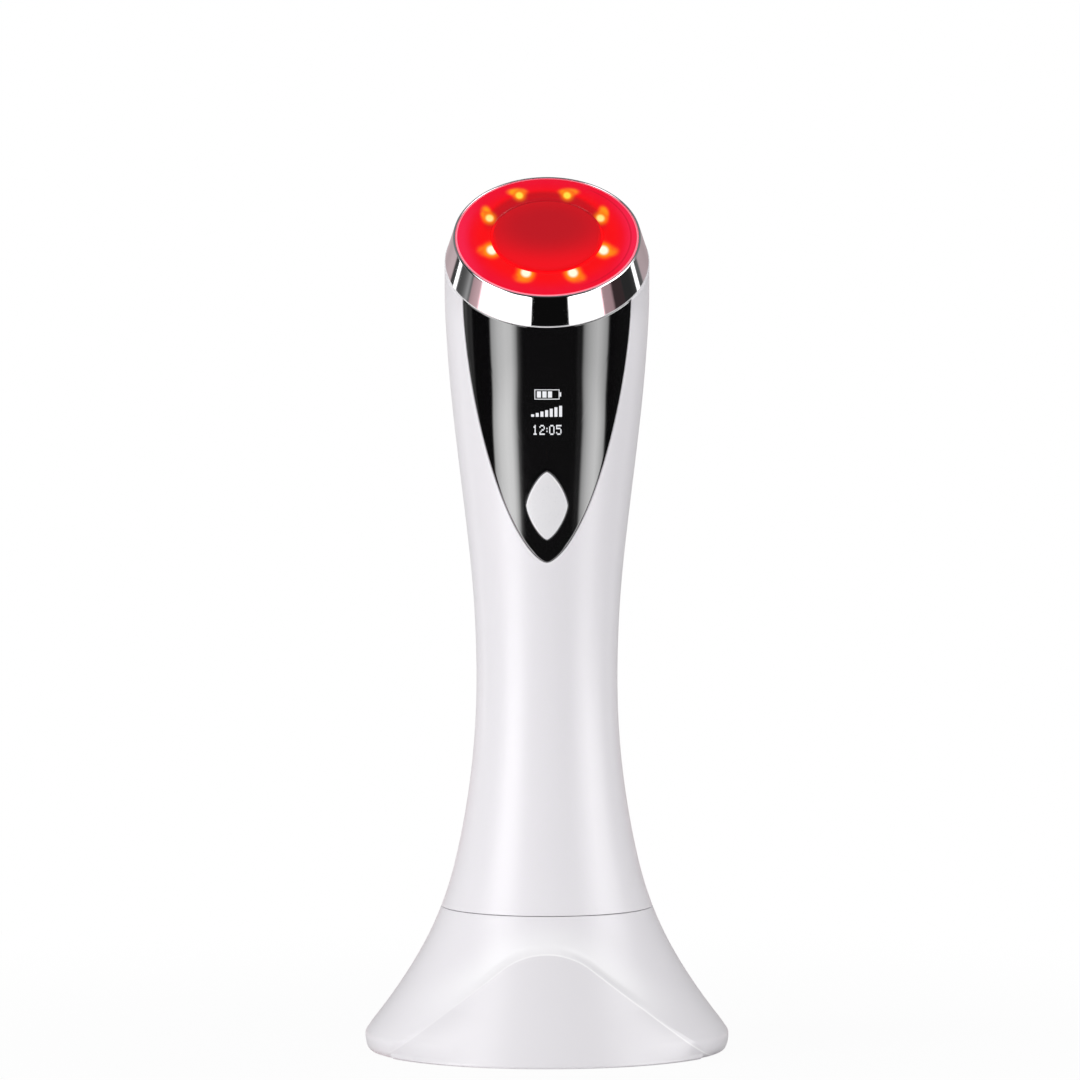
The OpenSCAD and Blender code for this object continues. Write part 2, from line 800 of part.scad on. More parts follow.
module chrome_ring() {
    color("silver") head_frame() rotate_extrude() polygon([
        [carrier_r + 0.1, 0], [ring_foot_r, 0], [ring_foot_r, 0.3],
        [ring_lip_r + 0.35, ring_h - 0.6], [ring_lip_r + 0.15, ring_h - 0.2], [ring_lip_r - 0.15, ring_h],
        [lens_r + 0.1, ring_h], [lens_r + 0.1, lens_z + lens_flange_t + 0.05],
        [carrier_r + 0.1, lens_z + lens_flange_t + 0.05]
    ]);
}

module lens() {
    in_r = plate_r + gasket_w;
    color("red") head_frame() rotate_extrude() polygon([
        [in_r, lens_z], [lens_flange_r, lens_z], [lens_flange_r, lens_z + lens_flange_t],
        [lens_r, lens_z + lens_flange_t], [lens_r, lens_top - 0.3], [lens_r - 0.3, lens_top],
        [in_r, lens_top]
    ]);
}

module treatment_plate() {
    color("firebrick") head_frame() rotate_extrude() polygon([
        [0, plate_z], [plate_flange_r, plate_z], [plate_flange_r, plate_z + plate_flange_t],
        [plate_r, plate_z + plate_flange_t], [plate_r, plate_top - 0.3], [plate_r - 0.3, plate_top],
        [0, plate_top]
    ]);
}

module plate_gasket() {
    color("darkred") head_frame() difference() {
        translate([0, 0, plate_z + plate_flange_t])
            cylinder(r = plate_r + gasket_w, h = lens_top - plate_z - plate_flange_t - 0.1);
        cylinder(r = plate_r, h = far);
    }
}

module led_board() {
    color("darkgreen") head_frame() difference() {
        translate([0, 0, led_board_z]) cylinder(r = led_board_out_r, h = led_board_t);
        translate([0, 0, led_board_z - 1]) cylinder(r = led_board_in_r, h = led_board_t + 2);
    }
}

module leds() {
    color("orangered") head_frame()
        for (i = [0:led_count - 1])
            rotate([0, 0, 360 * (i + 0.5) / led_count])
                translate([led_circle_r - led_side / 2, -led_side / 2, led_z])
                    cube([led_side, led_side, led_h]);
}

module peltier_module() {
    color("white") head_frame() translate([-peltier_side / 2, -peltier_side / 2, peltier_z])
        cube([peltier_side, peltier_side, peltier_t]);
}

// Short leads from the thermoelectric module onto the inner edge of the LED board
module peltier_leads() {
    color("crimson") head_frame()
        for (side = [-1, 1])
            wire([
                [side * 1.6, -peltier_side / 2, led_z + 0.5],
                [side * 1.6, -led_board_in_r - 0.8, led_z + 0.5]
            ], 0.5);
}

module thermal_pad() {
    color("lightgray") head_frame() translate([-peltier_side / 2, -peltier_side / 2, sink_top])
        cube([peltier_side, peltier_side, pad_t]);
}

module heat_sink() {
    slots = floor(sink_r / fin_pitch);
    color("silver") head_frame() difference() {
        union() {
            translate([0, 0, sink_bottom]) cylinder(r = sink_r, h = sink_h);
            translate([0, 0, sink_body_z - eps]) cylinder(r = pedestal_r, h = sink_step + eps);
        }
        span([-far, -far, sink_bottom - 1], [far, -sink_flat, sink_top]);
        for (i = [-slots + 1:slots - 1])
            span(
                [-far, (i - 0.5) * fin_pitch - fin_slot / 2, sink_bottom - 1],
                [far, (i - 0.5) * fin_pitch + fin_slot / 2, sink_body_z - 2.5]
            );
    }
}

// Bead under the plate, beside the thermoelectric module
module temperature_sensor() {
    bead_x = 7.7;
    color("black") head_frame() {
        span([bead_x - 0.8, -0.6, plate_z - 0.8], [bead_x + 0.8, 0.6, plate_z]);
        wire([[bead_x, 0, plate_z - 0.4], [led_board_in_r + 0.6, 0, led_z + 0.3]], 0.3);
    }
}

// Four leads from the main board's socket up to the underside of the LED board
module head_harness() {
    socket_top = board_top - socket_drop;
    low = sink_bottom - mount_plate_t - 0.8;
    ends = [
        for (up = [low, led_board_z]) [
            ring_y + harness_y * cos(head_tilt) - up * sin(head_tilt),
            ring_z + harness_y * sin(head_tilt) + up * cos(head_tilt)
        ]
    ];
    color("gold")
        for (i = [-1.5:1.5])
            wire([
                [i * harness_pitch, socket_y, socket_top],
                [i * harness_pitch, socket_y, socket_top + 1.5],
                [i * harness_pitch, ends[0][0], ends[0][1]],
                [i * harness_pitch, ends[1][0], ends[1][1]]
            ], harness_r);
}

module button_cap() {
    color("gainsboro") {
        intersection() {
            handset_skin(-button_proud, button_back);
            forward(far) button_outline();
        }
        intersection() {
            handset_skin(button_back - eps, button_back + button_flange_t);
            forward(far) button_outline(0.9);
        }
        translate([0, plunger_y, button_z]) rotate([90, 0, 0])
            cylinder(r = switch_plunger_r, h = plunger_y - stem_y + 0.1);
    }
}

module switch_plunger() {
    color("black") translate([0, plunger_y, button_z]) rotate([-90, 0, 0])
        cylinder(r = switch_plunger_r, h = switch_face - plunger_y + switch_bore / 2);
}

// Outline of the raised arch, in x and z
module arch_outline() {
    n = 12;
    side_x = arch_crest_r * sin(arch_fall);
    side_z = arch_h - arch_crest_r * (1 - cos(arch_fall));
    foot_z = side_z - (arch_half_w - side_x) * tan(arch_fall);
    right = concat(
        [for (i = [0:n]) let (a = arch_fall * i / n)
            [arch_crest_r * sin(a), arch_h - arch_crest_r * (1 - cos(a))]],
        [[arch_half_w, foot_z], [arch_half_w, -1]]
    );
    polygon(concat(right, [for (i = [len(right) - 1:-1:1]) [-right[i][0], right[i][1]]]));
}

// The dock's outer form: a flare with a straighter, arched cone on its front
module dock_solid() {
    n = 14;
    difference() {
        rotate_extrude() polygon(concat(
            [[0, foot_clear]],
            [for (i = [0:n]) let (a = -90 + (90 + edge_angle) * i / n)
                [base_r - edge_round + edge_round * cos(a), edge_z + edge_round * sin(a)]],
            [for (i = [1:flank_steps]) let (z = flare_end_z + (dock_h - flare_end_z) * i / flank_steps)
                [flank_r(z), z]],
            [[0, dock_h]]
        ));
        forward(far) arch_outline();
    }
    intersection() {
        translate([0, 0, foot_clear])
            cylinder(r1 = cone_r(foot_clear), r2 = cone_r(arch_h + 2), h = arch_h + 2 - foot_clear);
        translate([0, eps, 0]) forward(far) arch_outline();
    }
}

// Room inside the dock
module dock_cavity() {
    top = dock_h - cup_flange_t - ledge_t;
    rotate_extrude() polygon(concat(
        [[0, 0], [plate_cavity_r, 0]],
        [for (i = [0:flank_steps]) let (z = flare_end_z + (top - flare_end_z) * i / flank_steps)
            [min(plate_cavity_r, flank_r(z) - wall, cone_r(z) - wall), z]],
        [[0, top]]
    ));
}

module dock_shell() {
    color("whitesmoke") difference() {
        union() {
            difference() {
                dock_solid();
                dock_cavity();
            }
            intersection() {
                dock_solid();
                union() {
                    for (a = DIAGONALS)
                        rotate([0, 0, a]) translate([boss_circle_r, 0, base_top])
                            cylinder(r = boss_r, h = dock_h / 2);
                    span(
                        [-pocket_w / 2 - inlet_boss_margin, inlet_boss_y, inlet_z - pocket_h / 2 - inlet_boss_margin],
                        [pocket_w / 2 + inlet_boss_margin, far, inlet_z + pocket_h / 2 + inlet_boss_margin]
                    );
                }
            }
        }
        // Seat of the cup
        translate([0, 0, dock_h - cup_flange_t]) cylinder(r = cup_flange_r + fit_gap, h = far);
        cylinder(r = ledge_r, h = far);
        // Pocket and slot of the power inlet
        span(
            [-pocket_w / 2, pocket_y, inlet_z - pocket_h / 2],
            [pocket_w / 2, far, inlet_z + pocket_h / 2]
        );
        span(
            [-inlet_w / 2 - fit_gap, 0, inlet_z - inlet_h / 2 - fit_gap],
            [inlet_w / 2 + fit_gap, far, inlet_z + inlet_h / 2 + fit_gap]
        );
        for (a = DIAGONALS)
            rotate([0, 0, a]) translate([boss_circle_r, 0, 0])
                cylinder(r = screw_r + pilot_gap, h = base_top + base_screw_l);
    }
}

// Cup that the handset's spigot stands in
module dock_cup() {
    color([0.25, 0.25, 0.27]) difference() {
        union() {
            translate([0, 0, seat_z - cup_floor_t]) cylinder(r = cup_r, h = dock_h - seat_z + cup_floor_t);
            translate([0, 0, dock_h - cup_flange_t]) cylinder(r = cup_flange_r, h = cup_flange_t);
        }
        translate([0, 0, seat_z]) cylinder(r = spigot_r + spigot_gap, h = far);
        for (side = [-1, 1])
            translate([side * pin_pitch / 2, 0, 0]) cylinder(r = barrel_r + 0.1, h = far);
    }
}

module dock_board() {
    color("darkgreen") difference() {
        union() {
            translate([0, 0, dock_board_z]) cylinder(r = dock_board_r, h = dock_board_t);
            span(
                [-tongue_w / 2, 0, dock_board_z],
                [tongue_w / 2, inlet_boss_y - 0.3, dock_board_top]
            );
        }
        for (a = DIAGONALS)
            rotate([0, 0, a]) translate([post_circle_r, 0, 0])
                cylinder(r = small_screw_r + fit_gap, h = far);
    }
}

// Charger chip, choke and capacitors on the dock's board
module dock_components() {
    color([0.15, 0.15, 0.17])
        for (c = dock_chips)
            translate([c[0] - c[2] / 2, c[1] - c[3] / 2, dock_board_top]) cube([c[2], c[3], c[4]]);
}

module dock_board_screws() {
    color("silver")
        for (a = DIAGONALS)
            rotate([0, 0, a]) translate([post_circle_r, 0, dock_board_top]) rotate([180, 0, 0])
                screw(small_screw_r, small_screw_r * 1.9, dock_board_t + board_screw_bite);
}

// Small reversible power socket, open to the rear
module power_inlet() {
    low = [-inlet_w / 2, pocket_y - inlet_l, dock_board_top];
    color("silver") difference() {
        translate(low) cube([inlet_w, inlet_l, inlet_h]);
        difference() {
            span(
                low + [inlet_wall, 1, inlet_wall],
                [inlet_w / 2 - inlet_wall, pocket_y + 1, dock_board_top + inlet_h - inlet_wall]
            );
            span([-inlet_w * 0.38, 0, inlet_z - 0.35], [inlet_w * 0.38, pocket_y - 0.6, inlet_z + 0.35]);
        }
    }
}

module pin_barrels() {
    color("gold")
        for (side = [-1, 1])
            translate([side * pin_pitch / 2, 0, 0]) difference() {
                translate([0, 0, dock_board_top]) cylinder(r = barrel_r, h = barrel_top - dock_board_top);
                translate([0, 0, spring_bottom])
                    cylinder(r = barrel_r - barrel_wall, h = barrel_top - barrel_neck - spring_bottom);
                translate([0, 0, spring_bottom]) cylinder(r = pin_r + 0.05, h = far);
            }
}

// Coil spring between the barrel's floor and the pin's flange, as one swept tube
module pin_spring(side) {
    sides = 6;
    rings = spring_turns * 12;
    coil_r = barrel_r - barrel_wall - spring_wire_r - 0.06;
    low = spring_bottom + spring_wire_r;
    climb = spring_top - spring_bottom - 2 * spring_wire_r;
    slope = atan2(climb, 2 * PI * coil_r * spring_turns);
    points = [
        for (i = [0:rings]) let (a = 360 * spring_turns * i / rings)
            for (j = [0:sides - 1]) let (
                b = 360 * j / sides,
                out = spring_wire_r * cos(b),
                up = spring_wire_r * sin(b)
            ) [
                (coil_r + out) * cos(a) + up * sin(slope) * sin(a),
                (coil_r + out) * sin(a) - up * sin(slope) * cos(a),
                low + climb * i / rings + up * cos(slope)
            ]
    ];
    faces = concat(
        [for (j = [1:sides - 2]) [0, j, j + 1]],
        [for (j = [1:sides - 2]) [rings * sides, rings * sides + j + 1, rings * sides + j]],
        [for (i = [0:rings - 1]) for (j = [0:sides - 1]) let (k = (j + 1) % sides)
            each [
                [i * sides + j, (i + 1) * sides + k, i * sides + k],
                [i * sides + j, (i + 1) * sides + j, (i + 1) * sides + k]
            ]]
    );
    color("silver") translate([side * pin_pitch / 2, 0, 0]) polyhedron(points, faces);
}

module pin_spring_left() {
    pin_spring(-1);
}

module pin_spring_right() {
    pin_spring(1);
}

// Sprung charging pin, drawn at the top of its travel
module charge_pin(side) {
    tip_z = seat_z - pin_tip_gap;
    color("gold") translate([side * pin_pitch / 2, 0, 0]) {
        translate([0, 0, pin_flange_top - pin_flange_t]) cylinder(r = pin_flange_r, h = pin_flange_t);
        translate([0, 0, pin_flange_top - eps])
            cylinder(r = pin_r, h = tip_z - pin_r - pin_flange_top + eps);
        translate([0, 0, tip_z - pin_r]) sphere(r = pin_r);
    }
}

module charge_pin_left() {
    charge_pin(-1);
}

module charge_pin_right() {
    charge_pin(1);
}

module ballast() {
    color("slategray") translate([0, 0, base_top]) cylinder(r = ballast_r, h = ballast_h);
}

module base_plate() {
    color("white") difference() {
        union() {
            translate([0, 0, base_bottom]) cylinder(r = base_plate_r, h = base_plate_t);
            for (a = DIAGONALS)
                rotate([0, 0, a]) translate([post_circle_r, 0, base_bottom])
                    cylinder(r = post_r, h = dock_board_z - base_bottom);
            difference() {
                translate([0, 0, base_bottom]) cylinder(r = ballast_rim_r + 1.2, h = base_plate_t + 2);
                translate([0, 0, base_top]) cylinder(r = ballast_rim_r, h = far);
            }
        }
        for (a = DIAGONALS) rotate([0, 0, a]) {
            translate([post_circle_r, 0, base_top]) cylinder(r = small_screw_r + pilot_gap, h = far);
            translate([boss_circle_r, 0, -1]) cylinder(r = screw_r + fit_gap, h = far);
            translate([boss_circle_r, 0, -1])
                cylinder(r = screw_head_r + 0.2, h = base_bottom + 1 + screw_head_h);
        }
        for (a = [0:90:270])
            rotate([0, 0, a]) translate([boss_circle_r, 0, -1]) cylinder(r = foot_r, h = foot_h + 1);
    }
}

module base_screws() {
    color("silver")
        for (a = DIAGONALS)
            rotate([0, 0, a]) translate([boss_circle_r, 0, base_bottom + screw_head_h])
                screw(screw_r, screw_head_r, base_screw_l);
}

module rubber_feet() {
    color("gray")
        for (a = [0:90:270])
            rotate([0, 0, a]) translate([boss_circle_r, 0, 0]) cylinder(r = foot_r, h = foot_h);
}

front_shell();
rear_shell();
bottom_cap();
contact_pads();
cap_screws();
chassis();
display_panel();
display_frame();
display_module();
display_ribbon();
main_board();
board_components();
board_screws();
tact_switch();
battery();
battery_tabs();
battery_leads();
charge_leads();
head_carrier();
head_screws();
chrome_ring();
lens();
treatment_plate();
plate_gasket();
led_board();
leds();
peltier_module();
peltier_leads();
thermal_pad();
heat_sink();
temperature_sensor();
head_harness();
button_cap();
switch_plunger();
dock_shell();
dock_cup();
dock_board();
dock_components();
dock_board_screws();
power_inlet();
pin_barrels();
pin_spring_left();
pin_spring_right();
charge_pin_left();
charge_pin_right();
ballast();
base_plate();
base_screws();
rubber_feet();
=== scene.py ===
"""Visual model of the hot and cold facial device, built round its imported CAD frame.

Sizes below are in millimetres and follow the part's own values; meshes are written in metres.
"""
import math
import re
from functools import partialmethod

import bmesh
import bpy
import numpy as np
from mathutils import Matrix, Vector


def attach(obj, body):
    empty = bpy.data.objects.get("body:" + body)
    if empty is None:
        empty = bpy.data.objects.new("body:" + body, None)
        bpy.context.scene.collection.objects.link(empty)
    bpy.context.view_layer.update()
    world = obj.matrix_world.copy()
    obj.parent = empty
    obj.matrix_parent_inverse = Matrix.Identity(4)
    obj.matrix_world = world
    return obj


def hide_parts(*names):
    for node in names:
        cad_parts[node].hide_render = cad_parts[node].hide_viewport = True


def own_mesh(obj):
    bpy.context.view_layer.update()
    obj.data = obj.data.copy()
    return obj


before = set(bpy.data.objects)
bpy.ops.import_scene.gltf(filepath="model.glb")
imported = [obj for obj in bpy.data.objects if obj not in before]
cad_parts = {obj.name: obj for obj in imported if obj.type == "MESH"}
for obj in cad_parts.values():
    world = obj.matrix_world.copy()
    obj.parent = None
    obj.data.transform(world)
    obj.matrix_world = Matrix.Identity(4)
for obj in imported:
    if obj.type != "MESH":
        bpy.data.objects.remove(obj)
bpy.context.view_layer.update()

MM = 0.001
RAD = math.pi / 180

# Outline of the handset and dock
WAIST_R, WAIST_Z = 14.8, 78.0
HEAD_R, BEND_Z = 21.2, 152.5
WAIST_CURVE, SHOULDER_CURVE, SHOULDER_SHARE = 30.0, 22.8, 0.47
SKIRT_Z, SKIRT_SLOPE, SKIRT_POWER = 42.0, 0.22, 2.25
BASE_R, EDGE_R, EDGE_ANGLE, EDGE_Z, FOOT_Z, FOOT_ROUND = 38.19, 1.8, 38 * RAD, 3.3, 0.08, 1.2
FLARE_END_Z, FLARE_END_R = 5.921, 37.418
SLIM, SLIM_NEAR, SLIM_FAR = 0.5, 1.5, 8.0
DOCK_H, SEAM_Z, WALL = 30.2, 30.33, 2.0
RISE = BEND_Z - WAIST_Z
LEAN = (HEAD_R - WAIST_R) / (RISE - WAIST_CURVE / 2 - SHOULDER_CURVE * (1 - SHOULDER_SHARE) / 2)
STRAIGHT_END = RISE - SHOULDER_CURVE
SHOULDER_R = WAIST_R + LEAN * (STRAIGHT_END - WAIST_CURVE / 2)
SKIRT_R = WAIST_R + SKIRT_SLOPE * (WAIST_Z - SKIRT_Z) / 2
EDGE_X = BASE_R - EDGE_R
FLARE_Z = EDGE_Z + EDGE_R * math.sin(EDGE_ANGLE)
FLARE_R = EDGE_X + EDGE_R * math.cos(EDGE_ANGLE)
FLARE_L = SKIRT_Z - FLARE_END_Z
FLARE_GAIN = FLARE_END_R - SKIRT_R - SKIRT_SLOPE * FLARE_L

# Bend of the head, and the frame of its tilted ring
TILT = 36.5 * RAD
PIVOT = HEAD_R + 1.5
T_TOP = BEND_Z + PIVOT * TILT
SWELL_SLOPE, SWELL_L = LEAN * SHOULDER_SHARE, 8.0
RING_Y, RING_Z = -PIVOT + PIVOT * math.cos(TILT), BEND_Z + PIVOT * math.sin(TILT)

# Handset shells: rounded lip, seam and parting edges, and the gap at the parting line
LIP_R, SEAM_R, SPLIT_R, SPLIT_GAP = 0.28, 0.1, 0.14, 0.03

# Panel, button and display
PANEL_W, PANEL_L, PANEL_TIP, PANEL_POWER, PANEL_T, PANEL_GAP = 17.64, 54.7, 104.0, 1.6, 1.2, 0.1
BUTTON_W, BUTTON_H, BUTTON_Z, BUTTON_POWER, BUTTON_GAP = 4.35, 7.18, 115.9, 1.42, 0.15
STILL_Z = 147.0

# Head: ring, lens, plate and seal, by height and radius in the head's own frame
LENS_TOP, LENS_Z, LENS_IN, LENS_OUT, LENS_ROUND = 7.0, 5.3, 11.75, 19.1, 0.5
RING_FOOT, RING_IN, LIP_IN, LIP_TOP = 21.3, 18.95, 19.15, 6.98
PLATE_TOP, PLATE_LOW, PLATE_R, FLANGE_R, FLANGE_T, PLATE_ROUND = 7.22, 4.7, 11.3, 12.1, 0.5, 0.25
SEAL_LOW, SEAL_TOP, SEAL_BEVEL = 5.2, 6.98, 0.05

# Springs of the charging pins
SPRING_X, SPRING_LOW, SPRING_HIGH, SPRING_R, WIRE_R, TURNS = 5.0, 12.9, 17.43, 0.77, 0.12, 6

# Arch on the dock's front
ARCH_H, ARCH_W, ARCH_R, ARCH_FALL = 22.8, 32.6, 15.3, 37.8 * RAD
CONE_FOOT, CONE_SLOPE = 38.4, 0.498

# Power inlet's pocket, the slot in it and the boss round them
POCKET, POCKET_Z, POCKET_Y, POCKET_ROUND = (12.44, 6.6), 13.9, 27.43, 1.0
SLOT, SLOT_ROUND, BOSS_MARGIN, BOSS_ROUND, BOSS_Y = (9.24, 3.5), 0.6, 1.8, 0.5, 24.93


# ---- curves and surfaces

def flank_formula(z):
    u = z - WAIST_Z
    if u > 0:
        if u < WAIST_CURVE:
            return WAIST_R + LEAN * u * u / (2 * WAIST_CURVE)
        if u < STRAIGHT_END:
            return WAIST_R + LEAN * (u - WAIST_CURVE / 2)
        w = u - STRAIGHT_END
        return SHOULDER_R + LEAN * w - LEAN * (1 - SHOULDER_SHARE) * w * w / (2 * SHOULDER_CURVE)
    if z > SKIRT_Z:
        return WAIST_R + SKIRT_SLOPE * u * u / (2 * (WAIST_Z - SKIRT_Z))
    w = SKIRT_Z - z
    # The flare is a little leaner just above its rounded edge, as the photograph has it
    e = z - FLARE_Z
    slim = SLIM * (math.exp(-e / SLIM_NEAR) + math.exp(-(e / SLIM_FAR) ** 2))
    return SKIRT_R + SKIRT_SLOPE * w + FLARE_GAIN * (w / FLARE_L) ** SKIRT_POWER - slim


def stack(*columns):
    """Points from their columns, any of which may be one value."""
    return np.stack(np.broadcast_arrays(*columns), -1)


def between(a, b, share):
    return a + (b - a) * share


class Spline:
    """Cubic spline with given end slopes, without steps in its curvature, and flat beyond its ends."""

    def __init__(self, x, y, slope_a, slope_b):
        x, y = np.array(x, float), np.array(y, float)
        h = np.diff(x)
        slopes = np.concatenate([[slope_a], np.diff(y) / h, [slope_b]])
        a = np.diag(2 * (np.append(h, 0) + np.append(0, h))) + np.diag(h, 1) + np.diag(h, -1)
        self.x, self.y, self.h, self.m = x, y, h, np.linalg.solve(a, 6 * np.diff(slopes))

    def __call__(self, q):
        q = np.clip(np.asarray(q, float), self.x[0], self.x[-1])
        i = np.clip(np.searchsorted(self.x, q) - 1, 0, len(self.h) - 1)
        h, p, r = self.h[i], self.x[i + 1] - q, q - self.x[i]
        m0, m1 = self.m[i], self.m[i + 1]
        curved = (m0 * p ** 3 + m1 * r ** 3) / (6 * h)
        return curved + (self.y[i] / h - m0 * h / 6) * p + (self.y[i + 1] / h - m1 * h / 6) * r


KNOTS = [FLARE_Z, 5.5, 7, 9, 11.5, 14.5, 18, 24, 30.3, 36, 42, 50, 60, 69, 78, 88, 98, 108, 119, 129.7, 137,
         145, BEND_Z]
flank = Spline(KNOTS, [FLARE_R] + [flank_formula(z) for z in KNOTS[1:]], -math.tan(EDGE_ANGLE), SWELL_SLOPE)
STILL_SLOPE = math.atan((flank(STILL_Z + 0.1) - flank(STILL_Z - 0.1)) / 0.2)


def swell(theta, phi):
    """How much the head's section still grows along its bend, by the way gone along it."""
    way = np.minimum((PIVOT - HEAD_R * np.cos(theta)) * phi, SWELL_L)
    return SWELL_SLOPE * (way - way * way / (2 * SWELL_L))


def skin(theta, t, depth=0.0):
    """Points of the handset's outer face, moved in by depth. t is the height, then the way round the bend."""
    phi = np.maximum(t - BEND_Z, 0) / PIVOT
    r = flank(t) + swell(theta, phi) - depth
    rho = PIVOT - r * np.cos(theta)
    return stack(r * np.sin(theta), -PIVOT + rho * np.cos(phi), np.minimum(t, BEND_Z) + rho * np.sin(phi))


def front(x, z):
    """theta and t of the front face's points that lie behind x and z in a front view."""
    r = flank(z)
    theta = np.arcsin(np.clip(x / r, -1, 1))
    phi = np.zeros_like(r)
    for _ in range(8):
        r = flank(z) + swell(theta, phi)
        theta = np.arcsin(np.clip(x / r, -1, 1))
        rho = PIVOT - r * np.cos(theta)
        phi = np.arcsin(np.clip(np.maximum(z - BEND_Z, 0) / rho, 0, math.sin(TILT)))
    return theta, np.where(z > BEND_Z, BEND_Z + PIVOT * phi, z)


def top_z(x):
    """Height in a front view of the ring's foot above x."""
    theta = np.arcsin(np.clip(x / HEAD_R, -1, 1))
    for _ in range(6):
        r = HEAD_R + swell(theta, TILT)
        theta = np.arcsin(np.clip(x / r, -1, 1))
    return BEND_Z + (PIVOT - r * np.cos(theta)) * math.sin(TILT)


def split_angle(t):
    """Angle of the parting line between the shells, which stays in the plane y = 0."""
    phi = np.maximum(t - BEND_Z, 0) / PIVOT
    theta = np.full_like(phi, math.pi / 2)
    for _ in range(8):
        r = flank(t) + swell(theta, phi)
        theta = np.arccos(np.clip(PIVOT / r * (1 - 1 / np.cos(phi)), -1, 1))
    return theta


def resample(points, n):
    """n + 1 points, evenly spaced along a polyline."""
    way = np.concatenate([[0], np.cumsum(np.linalg.norm(np.diff(points, axis=0), axis=1))])
    q = np.linspace(0, way[-1], n + 1)
    return stack(*(np.interp(q, way, column) for column in points.T))


def grow(points, e):
    """A polyline moved by e to its left."""
    d = np.gradient(points, axis=0)
    d /= np.linalg.norm(d, axis=1)[:, None]
    return points + e * stack(-d[:, 1], d[:, 0])


def superellipse(w, h, power, n=3000):
    """Quarter outline from the lowest point (0, -h) to the widest point (w, 0)."""
    a = np.linspace(math.pi / 2, 0, n)
    return stack(w * np.cos(a).clip(0) ** (2 / power), -h * np.sin(a).clip(0) ** (2 / power))


# Inset and depth of the lines across a rounded edge of radius 1
ROUND = [(0, 1), (0.076, 0.617), (0.293, 0.293), (0.617, 0.076), (1, 0)]
# Its insets but the last, from the inside out
INSETS = [e for e, _ in ROUND[-2::-1]]


def edge_depth(e, r):
    """Depth of a rounded edge of radius r at the distance e from it."""
    e = np.clip(e, 0, r)
    return r - np.sqrt(np.maximum(r * r - (r - e) ** 2, 0))


def shares(n):
    """1 / n, 2 / n and so on up to 1."""
    return np.arange(1, n + 1) / n


# ---- meshes

def new_object(name, data):
    obj = bpy.data.objects.new(name, data)
    bpy.context.scene.collection.objects.link(obj)
    return obj


class Mesh:
    """Vertices in mm, or points of a few other values, and faces, gathered piece by piece."""

    def __init__(self):
        self.v, self.f = [], []

    def add(self, points):
        start = len(self.v)
        self.v.extend(points.tolist())
        return list(range(start, len(self.v)))

    def join(self, loops, closed=False):
        self.f += quads(loops, closed)


def quads(rows, closed=False):
    """Faces between rows of vertex numbers, each row open or closed."""
    faces = []
    for a, b in zip(rows, rows[1:]):
        for i in range(len(a) if closed else len(a) - 1):
            j = (i + 1) % len(a)
            faces.append((a[i], a[j], b[j], b[i]))
    return faces


def finish_mesh(name, mesh, body, slot, *nodes, mirror=False, sharp=None, finish=None):
    """Makes the piece: merged, with its faces turned outward, riding on its body in place of CAD nodes."""
    bm = bmesh.new()
    verts = [bm.verts.new((x * MM, y * MM, z * MM)) for x, y, z in mesh.v]
    for f in mesh.f:
        ids = [i for k, i in enumerate(f) if i != f[k - 1]]
        if len(set(ids)) > 2:
            try:
                bm.faces.new([verts[i] for i in ids])
            except ValueError:
                pass
    if mirror:
        for v in bm.verts:
            if abs(v.co.x) < 2e-7:
                v.co.x = 0
        copy = bmesh.ops.duplicate(bm, geom=list(bm.verts) + list(bm.edges) + list(bm.faces))
        for v in copy["geom"]:
            if isinstance(v, bmesh.types.BMVert):
                v.co.x = -v.co.x
    bmesh.ops.remove_doubles(bm, verts=list(bm.verts), dist=4e-7)
    bmesh.ops.delete(bm, geom=[v for v in bm.verts if not v.link_faces], context="VERTS")
    bmesh.ops.recalc_face_normals(bm, faces=list(bm.faces))
    data = bpy.data.meshes.new(name)
    bm.to_mesh(data)
    bm.free()
    data.polygons.foreach_set("use_smooth", [True] * len(data.polygons))
    if sharp:
        data.set_sharp_from_angle(angle=sharp * RAD)
    data.materials.append(MATS[finish or slot])
    obj = new_object(name, data)
    bpy.context.view_layer.update()
    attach(obj, body)
    if nodes:
        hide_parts(*nodes)
    return obj


def thicken(mesh, outer, inner, faces, skip=()):
    """Outer and inner sheets of one layout, joined along every free edge that isn't on x = 0 or skipped."""
    a, b = mesh.add(outer), mesh.add(inner)
    count = {}
    for f in faces:
        mesh.f.append(tuple(a[i] for i in f))
        mesh.f.append(tuple(b[i] for i in reversed(f)))
        for e in zip(f[-1:] + f[:-1], f):
            key = (min(e), max(e))
            count[key] = count.get(key, 0) + 1
    for (i, j), n in count.items():
        in_middle = abs(outer[i][0]) < 2e-4 and abs(outer[j][0]) < 2e-4
        if n == 1 and not in_middle and not (i in skip and j in skip):
            mesh.f.append((a[i], a[j], b[j], b[i]))
    return a, b


def ring_point(r, theta, z):
    """Point at a radius, an angle from the front and a height."""
    return stack(r * np.sin(theta), -r * np.cos(theta), z)


def revolve(name, profile, n, slot, node):
    """Closed profile of (radius, height) turned round the head's own axis."""
    mesh = Mesh()
    a = np.arange(n) * 2 * math.pi / n
    c, s = math.cos(TILT), math.sin(TILT)
    loops = []
    for point in profile:
        x, y, z = ring_point(point[0], a, point[1]).T
        loops.append(mesh.add(stack(x, RING_Y + y * c - z * s, RING_Z + y * s + z * c)))
    mesh.join([loops[-1], *loops], closed=True)
    finish_mesh(name, mesh, "handset", slot, node, sharp=40)


def arc(cx, cz, r, a0, a1, n):
    """Points of a profile's arc from angle a0 to a1 in degrees."""
    return [(cx + r * math.cos(a * RAD), cz + r * math.sin(a * RAD)) for a in np.linspace(a0, a1, n)]


# ---- materials

